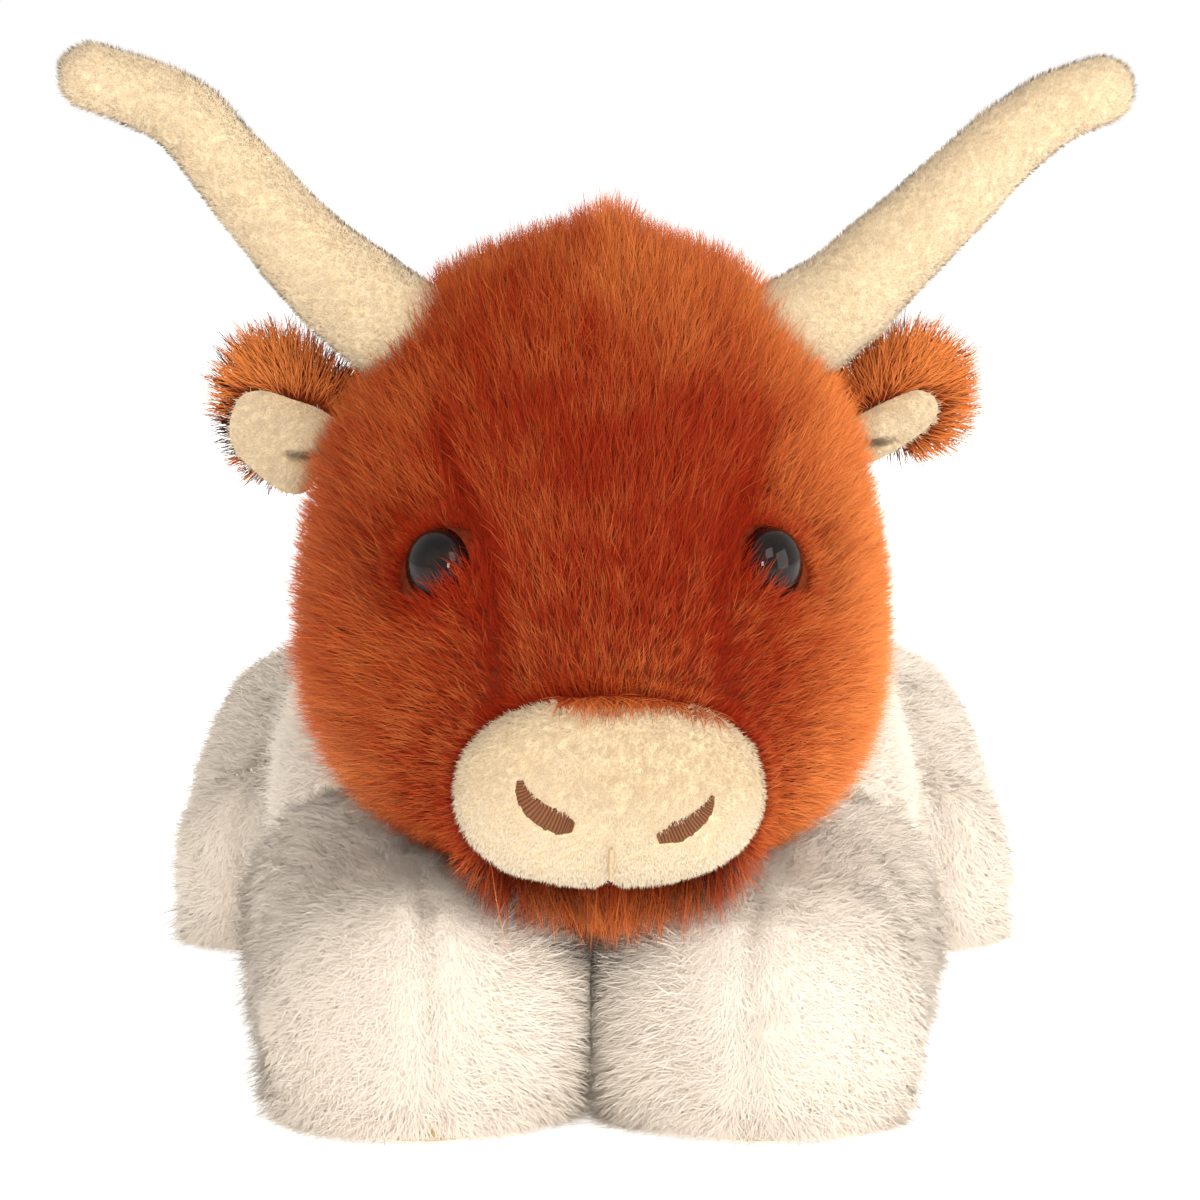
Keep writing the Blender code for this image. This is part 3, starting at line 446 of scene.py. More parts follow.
class Cover:
    """A sewn cover's surface: its grid, its normals, and 1 at each point that something else hides."""

    def __init__(self, grid):
        self.grid = grid
        self.normals = grid_normals(grid)
        self.covered = np.zeros(grid.shape[:2])

    def sink(self, neighbours, reach=0.05):
        """Moves what lies inside a neighbour inward, out of it."""
        trees = [solid_of(other) for other in neighbours]
        for spot in np.ndindex(*self.grid.shape[:2]):
            inward = Vector(-self.normals[spot])
            for tree in trees:
                point = Vector(self.grid[spot])
                if inside(tree, point):
                    hit = tree.ray_cast(point + 1e-5 * inward, inward, reach)[0]
                    if hit is not None:
                        self.grid[spot] = hit
                    self.covered[spot] = 1.0

    def push(self, amounts):
        """Moves the surface out along its normals by an amount for each point."""
        self.grid = self.grid + amounts[..., None] * self.normals
        self.normals = grid_normals(self.grid)


def add_mesh(name, points, faces, body):
    mesh = bpy.data.meshes.new(name)
    mesh.from_pydata(points.tolist(), [], faces)
    mesh.update()
    mesh.shade_smooth()
    obj = bpy.data.objects.new(name, mesh)
    bpy.context.scene.collection.objects.link(obj)
    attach(obj, body)
    return obj


def add_cover(name, cover, body, covering, node):
    """The backing cloth of a cover, closed at both its ends."""
    rows, sides = cover.grid.shape[:2]
    faces = grid_faces(rows, sides).tolist()
    faces += [list(range(sides))[::-1], [(rows - 1) * sides + k for k in range(sides)]]
    obj = add_mesh(name, cover.grid.reshape(-1, 3), faces, body)
    if cover_turns_in(cover):
        obj.data.flip_normals()
    obj.data.materials.append(covering.cloth.material)
    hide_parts(node)
    return obj


def cover_turns_in(cover):
    """True where the grid's faces look inward, so that they need turning round."""
    first = cover.grid[len(cover.grid) // 2, :3]
    after = cover.grid[len(cover.grid) // 2 + 1, 0]
    face = np.cross(first[1] - first[0], after - first[0])
    return face @ cover.normals[len(cover.grid) // 2, 0] < 0


# Pile: each strand is a thin tapering blade of its own


class Roots:
    """Places on a cover where strands grow."""

    def __init__(self, places, normals):
        self.places = places
        self.normals = normals

    def kept(self, which):
        return Roots(self.places[which], self.normals[which])


def scatter(cover, per_mm2, seed, share=None, bare=0.35):
    """Strand roots spread evenly over a cover's uncovered surface, thinner where the share is below 1."""
    rng = np.random.default_rng(seed)
    grid, normals = cover.grid, cover.normals
    after = np.roll(grid, -1, axis=1)
    area = 0.5 * np.linalg.norm(np.cross(grid[1:] - after[:-1], after[1:] - grid[:-1]), axis=-1)
    uncovered = cover.covered < bare
    open_face = uncovered[:-1] & uncovered[1:] & np.roll(uncovered, -1, axis=1)[:-1]
    area = area * open_face
    count = int(area.sum() / MM**2 * per_mm2)
    picks = np.searchsorted(np.cumsum(area.ravel()), rng.random(count) * area.sum())
    row, column = np.divmod(np.clip(picks, 0, area.size - 1), grid.shape[1])
    beside = (column + 1) % grid.shape[1]
    s, t = rng.random((2, count, 1))

    def read(values):
        low = (1 - s) * values[row, column] + s * values[row, beside]
        high = (1 - s) * values[row + 1, column] + s * values[row + 1, beside]
        return (1 - t) * low + t * high

    roots = Roots(read(grid), unit(read(normals)))
    if share is not None:
        roots = roots.kept(rng.random(count) < share(roots.places))
    return roots


def grow(
    roots,
    comb,
    length,
    lean=(0.5, 1.1),
    spread=0.35,
    width=0.21 * MM,
    clump=(3.0 * MM, 0.5),
    frizz=0.12,
    levels=4,
    length_spread=0.25,
    clear=None,
    tilt_spread=0.12,
    roll_spread=0.6,
    seed=1,
):
    """The strands' spines, their blades' half widths and sides, and each strand's own tone."""
    rng = np.random.default_rng(seed)
    places, normals = roots.places, roots.normals
    count = len(places)
    along = unit(comb(places, normals) * np.ones((count, 3)))
    along = along - dot(along, normals) * normals + 1e-6 * np.cross(normals, ACROSS)
    laid = np.clip(2 * np.linalg.norm(along, axis=1, keepdims=True), 0.2, 1.0)
    along = unit(along)
    turn = rng.normal(0, spread, (count, 1))
    across = np.cross(normals, along)
    along = np.cos(turn) * along + np.sin(turn) * across
    across = np.cross(normals, along)
    reach = (length(places) if callable(length) else length) * np.ones(count)
    reach = (reach * (1 + length_spread * rng.normal(0, 0.6, count)).clip(0.45, 1.5))[:, None]
    tilt = rng.normal(0, tilt_spread, (count, 1))
    centres, marks = clump_centres(places, clump[0], seed)
    inward = centres - places
    inward = inward - dot(inward, normals) * normals
    drift = unit(rng.normal(0, 1, (count, 3))) * frizz
    spine = [places - 0.3 * MM * normals]
    for k in range(1, levels):
        share = (k - 0.5) / (levels - 1)
        angle = laid * (lean[0] + (lean[1] - lean[0]) * share) + tilt
        way = np.cos(angle) * normals + np.sin(angle) * along + drift * share
        spine.append(spine[-1] + unit(way) * reach / (levels - 1))
    spine = np.stack(spine, axis=1)
    t = np.arange(levels) / (levels - 1)
    spine += clump[1] * (t**1.6)[None, :, None] * inward[:, None, :]
    if clear:
        spine = clear(spine)
    uneven = 0.4 * MM * cell_number((places / MM).astype(np.int64), 3)
    spine[..., 2] = np.maximum(spine[..., 2], FLOOR_GAP + uneven[:, None])
    ways = unit(np.gradient(spine, axis=1))
    roll = rng.uniform(-roll_spread, roll_spread, (count, 1, 1))
    flat = np.broadcast_to(across[:, None, :], spine.shape)
    flat = unit(flat - dot(flat, ways) * ways)
    sides = np.cos(roll) * flat + np.sin(roll) * np.cross(flat, ways)
    facing = (np.cross(sides, ways) * normals[:, None, :]).sum(axis=(1, 2))
    sides = sides * np.where(facing < 0, -1, 1)[:, None, None]
    taper = np.clip(1 - 0.25 * t - 0.75 * t**2, 0, 1)
    half = 0.5 * width * taper[None, :] * rng.uniform(0.7, 1.25, (count, 1))
    return spine, sides, half, marks, rng.random(count)


def add_pile(name, strands, normals, tone, body, covering, softness, swept):
    """One mesh of blades, with its colours' numbers and a place for each blade in its own flat map."""
    spine, sides, half, _, _ = strands
    count, levels = spine.shape[:2]
    edge = half[:, :-1, None] * sides[:, :-1]
    pairs = np.stack([spine[:, :-1] - edge, spine[:, :-1] + edge], axis=2).reshape(count, -1, 3)
    points = np.concatenate([pairs, spine[:, -1:]], axis=1)
    per_strand = points.shape[1]
    corners = []
    starts = []
    for k in range(levels - 2):
        starts.append(len(corners))
        corners += [2 * k, 2 * k + 1, 2 * k + 3, 2 * k + 2]
    starts.append(len(corners))
    corners += [2 * (levels - 2), 2 * (levels - 2) + 1, 2 * (levels - 2) + 2]
    corners = np.array(corners)
    index = (np.arange(count)[:, None] * per_strand + corners).ravel()
    first = (np.arange(count)[:, None] * len(corners) + np.array(starts)).ravel()
    mesh = bpy.data.meshes.new(name)
    mesh.vertices.add(count * per_strand)
    mesh.loops.add(len(index))
    mesh.polygons.add(len(first))
    mesh.vertices.foreach_set("co", points.astype(np.float32).ravel())
    mesh.loops.foreach_set("vertex_index", index.astype(np.int32))
    mesh.polygons.foreach_set("loop_start", first.astype(np.int32))
    mesh.update(calc_edges=True)
    mesh.shade_smooth()
    t = np.repeat(np.arange(levels - 1) / (levels - 1), 2)
    t = np.append(t, 1.0)
    for label, values in (("tone", np.repeat(tone, per_strand)), ("along", np.tile(t, count))):
        mesh.attributes.new(label, "FLOAT", "POINT").data.foreach_set("value", values.astype(np.float32))
    ways = unit(np.gradient(spine, axis=1))
    facing = np.cross(sides, ways)
    shading = unit(softness * normals[:, None, :] + (1 - softness) * facing + swept * ways)
    doubled = np.repeat(shading[:, :-1], 2, axis=1)
    shading = np.concatenate([doubled, shading[:, -1:]], axis=1).reshape(-1, 3)
    mesh.normals_split_custom_set_from_vertices(shading.astype(np.float32))
    columns = int(math.ceil(math.sqrt(count * 3)))
    rows = int(math.ceil(count / columns))
    cell = np.stack([np.arange(count) % columns, np.arange(count) // columns], axis=-1)
    u = np.append(np.tile((0.15, 0.85), levels - 1), 0.5)
    flat = np.stack([u, 0.08 + 0.84 * t], axis=-1)
    spots = (cell[:, None, :] + flat[None, :, :]) / (columns, rows)
    uv = mesh.uv_layers.new(name="OFBake")
    uv.data.foreach_set("uv", spots.reshape(-1, 2)[index].astype(np.float32).ravel())
    obj = bpy.data.objects.new(name, mesh)
    bpy.context.scene.collection.objects.link(obj)
    mesh.materials.append(covering.pile.material)
    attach(obj, body)


def add_fur(name, roots, tone, body, covering, softness=0.6, swept=0.0, **habit):
    """A cover's pile, in as many pieces as it takes to keep each one light."""
    strands = grow(roots, **habit)
    tones = tone(roots.places, strands[3], strands[4])
    parts = max(1, math.ceil(len(roots.places) / MOST_STRANDS))
    order = np.argsort(roots.places[:, 0], kind="stable")
    for k, chosen in enumerate(np.array_split(order, parts)):
        label = name if parts == 1 else f"{name}_{k + 1}"
        piece = tuple(values[chosen] for values in strands)
        add_pile(label, piece, roots.normals[chosen], tones[chosen], body, covering, softness, swept)


# Finishes


class Value:
    """What a node gives, with the usual arithmetic."""

    def __init__(self, nodes, socket):
        self.nodes = nodes
        self.socket = socket

    def math(self, operation, *values):
        return self.nodes.node("ShaderNodeMath", {"operation": operation}, dict(enumerate(values)))

    def __sub__(self, other):
        return self.math("SUBTRACT", self, other)

    def __rsub__(self, other):
        return self.math("SUBTRACT", other, self)

    def __mul__(self, other):
        return self.math("MULTIPLY", self, other)

    __rmul__ = __mul__

    def between(self, low, high):
        """0 below low and 1 above high."""
        return self.nodes.node("ShaderNodeMapRange", {}, {"Value": self, "From Min": low, "From Max": high})

    def blend(self, first, second):
        """The first colour where this is 0, the second where it is 1."""
        return self.nodes.node("ShaderNodeMix", {"data_type": "RGBA"}, {0: self, 6: first, 7: second}, 2)


class Nodes:
    """A shader's nodes, each made by one call."""

    def __init__(self, tree):
        self.tree = tree

    def node(self, kind, settings, inputs, output=0):
        node = self.tree.nodes.new(kind)
        for label, value in settings.items():
            setattr(node, label, value)
        for key, value in inputs.items():
            self.give(node.inputs[key], value)
        return Value(self, node.outputs[output])

    def give(self, socket, value):
        if isinstance(value, Value):
            self.tree.links.new(value.socket, socket)
        elif isinstance(value, tuple) and len(value) == 3 and socket.type == "RGBA":
            socket.default_value = (*value, 1.0)
        else:
            socket.default_value = value


class Finish(Nodes):
    """A material whose Principled shader gets its looks from constants, numbers and colours."""

    def __init__(self, name, **constants):
        self.material = bpy.data.materials.new(name)
        self.material.use_nodes = True
        super().__init__(self.material.node_tree)
        self.shader = self.tree.nodes["Principled BSDF"]
        self.looks(**constants)

    def looks(self, **values):
        for label, value in values.items():
            self.give(self.shader.inputs[label.replace("_", " ")], value)
        return self

    def attribute(self, label):
        return self.node("ShaderNodeAttribute", {"attribute_name": label}, {}, 2)

    def speckle(self, size, detail=2.0):
        """Noise from 0 to 1 whose lumps are about this many metres."""
        place = self.node("ShaderNodeTexCoord", {}, {}, 3)
        return self.node("ShaderNodeTexNoise", {}, {"Vector": place, "Scale": 1 / size, "Detail": detail})

    def speckled(self, size, dark, light):
        """A colour that changes between two, in lumps of about this many metres."""
        return self.speckle(size).between(0.3, 0.7).blend(dark, light)

    def outward(self):
        """The direction that a blade's cover faces, from whichever side the blade is seen."""
        normal = self.node("ShaderNodeNewGeometry", {}, {}, "Normal")
        behind = self.node("ShaderNodeNewGeometry", {}, {}, "Backfacing")
        return self.node("ShaderNodeVectorMath", {"operation": "SCALE"}, {0: normal, "Scale": 1 - 2 * behind})

    def bump(self, height, distance, strength=0.6):
        return self.node("ShaderNodeBump", {}, {"Height": height, "Distance": distance, "Strength": strength})


def pile_finish(name, dark, light, root_shade=0.45, shine=0.06):
    """Pile that is darker at its roots, and dark or light by each strand's tone."""
    made = Finish(name, Roughness=0.6, Specular_IOR_Level=shine)
    tone = made.attribute("tone")
    along = made.attribute("along")
    rooted = tuple(root_shade * value for value in dark)
    colour = along.between(0.0, 0.75).blend(rooted, tone.blend(dark, light))
    return made.looks(Base_Color=colour, Normal=made.outward())


def cloth_finish(name, dark, light, size=2.0 * MM, nap=0.4 * MM, sheen=0.2):
    """Backing cloth with an uneven nap."""
    made = Finish(name, Roughness=0.9, Sheen_Weight=sheen, Specular_IOR_Level=0.15)
    rough = made.bump(made.speckle(nap, 1.0), nap)
    return made.looks(Base_Color=made.speckled(size, dark, light), Normal=rough)


BROWN_DARK, BROWN_LIGHT = (0.27, 0.014, 0.001), (0.93, 0.28, 0.066)
CREAM_DARK, CREAM_LIGHT = (0.90, 0.77, 0.64), (0.97, 0.87, 0.74)
MINKY_DARK, MINKY_LIGHT = (0.60, 0.43, 0.26), (0.80, 0.68, 0.50)

brown_pile = pile_finish("brown_pile", BROWN_DARK, BROWN_LIGHT, 0.55)
brown_cloth = cloth_finish("brown_backing", (0.10, 0.012, 0.002), (0.20, 0.03, 0.005), sheen=0.0)
cream_pile = pile_finish("cream_pile", CREAM_DARK, CREAM_LIGHT, 1.0)
cream_cloth = cloth_finish("cream_backing", (0.92, 0.82, 0.68), (0.97, 0.88, 0.75))
minky_pile = pile_finish("cream_minky_nap", MINKY_DARK, MINKY_LIGHT, 0.8)
minky_cloth = cloth_finish("cream_minky_backing", (0.62, 0.46, 0.27), (0.74, 0.58, 0.37), 1.5 * MM)
sole_cloth = cloth_finish("tan_sole_cloth", (0.45, 0.30, 0.14), (0.68, 0.52, 0.30), 1.2 * MM)
stuffing_fibre = cloth_finish("stuffing_fibre", (0.78, 0.78, 0.76), (0.95, 0.95, 0.93), 1.2 * MM)
pellet_cloth = cloth_finish("pellet_bag_cloth", (0.62, 0.62, 0.60), (0.80, 0.80, 0.78), 0.8 * MM)

eye_black = Finish("eye_black", Roughness=0.02, Specular_IOR_Level=0.2)
eye_black.looks(Base_Color=eye_black.speckled(4 * MM, (0.004, 0.003, 0.003), (0.012, 0.007, 0.005)))
washer_plastic = Finish("washer_plastic", Roughness=0.45)
washer_plastic.looks(Base_Color=washer_plastic.speckled(1 * MM, (0.78, 0.78, 0.76), (0.88, 0.88, 0.86)))
thread_brown = Finish("nostril_thread", Roughness=0.5, Specular_IOR_Level=0.2)
# The nostril threads' tone carries painted light on each thread's crest and painted shade in the grooves
# between threads, with a random tone per thread
thread_crest_shade_and_tone = thread_brown.attribute("tone")
thread_brown.looks(Base_Color=thread_crest_shade_and_tone.blend((0.055, 0.018, 0.006), (0.20, 0.075, 0.028)))
# Painted shade: the mouth stitch is coloured darker than the nap round it, like the shade in the mouth's
# notch
stitch_painted_shade = Finish("mouth_stitch_thread", Roughness=0.6)
stitch_painted_shade.looks(Base_Color=stitch_painted_shade.speckled(0.5 * MM, (0.42, 0.29, 0.155), (0.54, 0.40, 0.235)))

# What a part is covered with: its slot in the record, its cloth and its pile
Covering = namedtuple("Covering", "slot cloth pile")
BROWN = Covering("brown_plush", brown_cloth, brown_pile)
CREAM = Covering("cream_plush", cream_cloth, cream_pile)
MINKY = Covering("cream_minky", minky_cloth, minky_pile)
EYE = Covering("eye_black", eye_black, None)


# The covers


def head_tone(places, marks, own):
    """Darker red over the forehead and the nose, lighter orange at the cheeks and the edges; painted light on
    the +X cheek and above the muzzle, and painted shade on the -X cheek, in the forehead's seam creases and
    round the eyes.
    """
    local = head_unturned(places)
    side = np.abs(local[:, 0]) / HEAD.half_width
    low = eased(local[:, 2], 0.085, 0.055)
    crown = eased(local[:, 2], 0.125, 0.160)
    edge = 0.55 * eased(side, 0.35, 1.0) + 0.25 * low * eased(side, 0.2, 0.7) + 0.28 * crown
    patch = 0.5 + 0.5 * noise(places, 11 * MM, 5)
    chin = 0.3 * eased(local[:, 2], 0.054, 0.048) * eased(local[:, 1], -0.12, -0.13)
    off, strength = panel_seam(local)
    # Painted shade: the pile is painted darker along the forehead's seam creases
    painted_crease_shade = 0.35 * strength * bell(off, 0.0022)
    # Painted light and shade: the cheeks and edges are painted lighter on the head's +X side, where the light
    # falls, and darker on its -X side
    shade = np.where(local[:, 0] < 0, 0.58, 1.30)
    # Painted light: the pile just above the muzzle is painted lighter, lifting the shade that falls among its
    # short strands
    above = 0.12 * eased(local[:, 2], 0.098, 0.084) * eased(side, 0.55, 0.25)
    # Painted shade: the pile is painted darker within about 11 mm of each eye
    reaches = [np.linalg.norm(places - centre, axis=1) for centre, _ in eyes.values()]
    painted_eye_shade = sum(bell(reach, 0.0115, 4) for reach in reaches)
    base = shade * edge + chin + above - painted_crease_shade - 0.20 * painted_eye_shade - 0.08
    return np.clip(base + 0.22 * patch + 0.22 * (marks - 0.5) + 0.38 * (own - 0.5), 0, 1)


def panel_seam(local):
    """How far the unturned head's places are from the forehead's nearer panel seam, and its strength."""
    line = 0.0200 + 0.0085 * eased(local[..., 2], 0.098, 0.130)
    off = np.abs(local[..., 0]) - line
    strength = eased(local[..., 2], 0.070, 0.084) * eased(local[..., 2], 0.138, 0.122)
    strength = strength * eased(local[..., 1], -0.055, -0.085) * np.where(local[..., 0] < 0, 1.0, 0.55)
    return off, strength


def head_comb(places, normals):
    """The pile runs away from the muzzle, up over the forehead and out over the cheeks."""
    local = head_unturned(places)
    away = local - np.array((0.0, -0.150, 0.062))
    up = eased(local[:, 2], 0.085, 0.12)[:, None]
    outward = np.sign(local[:, :1]) * eased(np.abs(local[:, 0]), 0.004, 0.05)[:, None] * ACROSS
    off, strength = panel_seam(local)
    parting = 0.5 * strength * np.sign(off) * bell(off, 0.0040) * np.sign(local[:, 0])
    flow = unit(away) + 0.5 * up * UP + 0.35 * outward + parting[:, None] * ACROSS
    return turned(flow)


def head_length(places):
    local = head_unturned(places)
    near = np.linalg.norm((local - np.array((0, -0.150, 0.0675))) / np.array((1.0, 1.0, 0.75)), axis=1)
    length = (5.0 + 5.0 * eased(near, 0.032, 0.065)) * MM
    crest = eased(local[:, 2], 0.150, 0.164) * eased(np.abs(local[:, 0] - 0.0025), 0.009, 0.0)
    crown = eased(local[:, 2], 0.135, 0.155) * eased(np.abs(np.abs(local[:, 0]) - 0.030), 0.018, 0.0)
    cheek = eased(np.abs(local[:, 0]), 0.035, 0.055) * eased(local[:, 2], 0.135, 0.115)
    off, strength = panel_seam(local)
    length = length + (4.5 * crest + 1.8 * crown - 1.8 * cheek * np.sign(local[:, 0])) * MM
    length = length * (1 - 0.35 * strength * bell(off, 0.0026))
    for centre, away in eyes.values():
        apart = places - centre
        over_eye = unit(np.cross(away, UP) * np.sign(centre[0]) - 0.15 * UP)
        inner = eased(apart @ over_eye, 0.0, 0.006)
        near_eye = bell(np.linalg.norm(apart, axis=1), 0.0125, 6)
        length = length * (1 - near_eye * (0.62 - 0.42 * inner))
    return length


neck_ball = form_grid(NECK, 0.0, 4, 40)
leg_shapes = [leg_grid(leg_of(side, front), -LEG_ROOM) for front in (True, False) for _, side in SIDES]
torso = Cover(form_grid(TORSO, PLUSH_BACKING))
torso.push(0.0006 + 0.0006 * noise(torso.grid, 22 * MM, 3))
torso.sink([*leg_shapes, neck_ball])

MUZZLE_BACK = MUZZLE.start + MUZZLE.length
RIM_FRONT = MUZZLE.start + 0.62 * MUZZLE.length


def inside_muzzle(places, spare):
    """Which of the unturned head's places lie in the muzzle, or in front of its back edge's outline."""
    x = np.abs(places[..., 0]) / (MUZZLE.half_width + spare)
    half_height = 0.5 * MUZZLE.height
    z = np.abs(places[..., 2] - MUZZLE.base - half_height) / (half_height + spare)
    return (x**MUZZLE.upper + z**MUZZLE.upper < 1) & (places[..., 1] < MUZZLE_BACK)


eyes = {}
for name, side in SIDES:
    node = frame["nodes"][f"eye_{name}"]
    corners = np.array([node.matrix_world @ corner.co for corner in node.data.vertices])
    away = turned(np.array((side * math.sin(EYE_AZIMUTH), -math.cos(EYE_AZIMUTH), 0.0)))
    eyes[name] = (corners[np.argmax(corners @ away)] - EYE_DOME * away, away)

head = Cover(form_grid(HEAD, HEAD_BACKING))
seam_off, seam = panel_seam(head.grid)
seam = seam * bell(seam_off, 0.0026)
middle_seam = bell(head.grid[..., 0], 0.0018) * eased(head.grid[..., 2], 0.140, 0.155)
eye_rise = np.zeros(head.grid.shape[:2])
for centre, _ in eyes.values():
    apart = np.linalg.norm(head.grid - head_unturned(centre), axis=-1)
    eye_rise += 0.0029 * bell(apart, 0.0125, 4)
head.push(eye_rise - 0.0011 * seam - 0.0010 * middle_seam + 0.0005 * noise(head.grid, 18 * MM, 9))
head.sink([neck_ball])
behind_muzzle = inside_muzzle(head.grid, 0.0004)
head.grid[..., 1] = np.where(behind_muzzle, MUZZLE_BACK, head.grid[..., 1])
head.grid = head_turned(head.grid)
head.normals = grid_normals(head.grid)

head_obj = add_cover("head_cover", head, "head", BROWN, "head_skin")
torso_obj = add_cover("torso_cover", torso, "torso", CREAM, "torso_skin")
neck = Cover(neck_ball)
add_cover("neck_cover", neck, "neck", BROWN, "neck_skin")
neck.covered = np.where(neck.grid[..., 1] < -0.052, 1.0, 0.0)
add_fur(
    "neck_pile", scatter(neck, 2.5, 31), even_tone(0.3), "neck", BROWN,
    comb=lambda places, normals: BACK + 0.4 * UP, length=4.5 * MM, lean=(0.7, 1.2), seed=32,
)


def off_fittings(places):
    """1 where a strand can grow, and 0 under the eyes, the horns, the ears and the muzzle."""
    keep = np.ones(len(places))
    for name, _ in SIDES:
        centre, away = eyes[name]
        off = places - centre
        aside = off - dot(off, away) * away
        keep[(np.linalg.norm(aside, axis=1) < 0.90 * EYE_RADIUS) & (off @ away > -EYE_DEPTH)] = 0
        keep[np.linalg.norm(places - HINGES[f"horn_flex_{name}"], axis=1) < HORN_BARE] = 0
        keep[np.linalg.norm(places - HINGES[f"ear_flap_{name}"], axis=1) < EAR_BARE] = 0
    keep[inside_muzzle(head_unturned(places), 0.0)] = 0
    return keep


def round_eyes(spine):
    """Strands with every point that an eye would hide moved out to its edge."""
    for centre, away in eyes.values():
        off = spine - centre
        deep = (off * away).sum(-1, keepdims=True)
        aside = off - deep * away
        reach = np.linalg.norm(aside, axis=-1, keepdims=True)
        room = 1.03 * EYE_RADIUS * np.sqrt(np.clip(1 - (np.maximum(deep, 0) / (1.1 * EYE_DOME)) ** 2, 0, 1))
        moved = centre + deep * away + aside / np.maximum(reach, 1e-9) * room
        spine = np.where((reach < room) & (deep > -0.010), moved, spine)
    return spine


add_fur(
    "head_pile", scatter(head, 4.4, 11, share=off_fittings, bare=2.0), head_tone, "head", BROWN,
    comb=head_comb, length=head_length, lean=(0.32, 1.02), spread=0.38, width=0.18 * MM, frizz=0.18,
    clump=(2.5 * MM, 0.42), clear=round_eyes, seed=21,
)


def round_eye_share(places):
    """True close round the eyes."""
    near = np.zeros(len(places), bool)
    for centre, away in eyes.values():
        off = places - centre
        aside = np.linalg.norm(off - dot(off, away) * away, axis=1)
        near |= (aside > 0.93 * EYE_RADIUS) & (aside < 1.6 * EYE_RADIUS) & (off @ away > -EYE_DEPTH)
    return near


add_fur(
    "eye_bed_pile", scatter(head, 9.0, 39, share=round_eye_share, bare=2.0), head_tone, "head", BROWN,
    comb=head_comb, length=2.8 * MM, lean=(0.1, 0.6), spread=0.6, width=0.18 * MM,
    clump=(1.6 * MM, 0.3), clear=round_eyes, seed=40,
)


def cream_tone(places, marks, own):
    patch = 0.5 + 0.5 * noise(places, 14 * MM, 31)
    return np.clip(0.5 + 0.4 * (patch - 0.5) + 0.2 * (marks - 0.5) + 0.3 * (own - 0.5), 0, 1)


def body_comb(places, normals):
    """The pile runs back along the body and down its sides."""
    return BACK - 0.5 * UP + 0.35 * wander(places, 16 * MM, 41)


PLUSH = {
    "swept": 0.7,
    "tilt_spread": 0.16,
    "roll_spread": 0.3,
    "lean": (0.95, 1.38),
    "spread": 0.6,
    "width": 0.27 * MM,
    "clump": (2.6 * MM, 0.25),
}
FUZZ = {
    "softness": 0.9,
    "swept": 0.5,
    "tilt_spread": 0.3,
    "roll_spread": 0.4,
    "lean": (0.45, 0.95),
    "spread": 0.7,
    "width": 0.15 * MM,
    "clump": (3.0 * MM, 0.3),
}


def leg_comb(side, leg):
    """The pile runs forward and out from the middle line of the paw, and a little down."""

    def comb(places, normals):
        way = unit(leg.toe - leg.hinge)
        aside = np.cross(way, UP)
        off = ((places - leg.toe) @ aside)[:, None]
        low = eased(places[:, 2], 0.016, 0.004)[:, None]
        flow = np.sign(off) * eased(np.abs(off), 0.0, 0.012) * aside + 0.35 * way - (0.45 + 0.8 * low) * UP
        return flow + 0.45 * wander(places, 12 * MM, 51)

    return comb


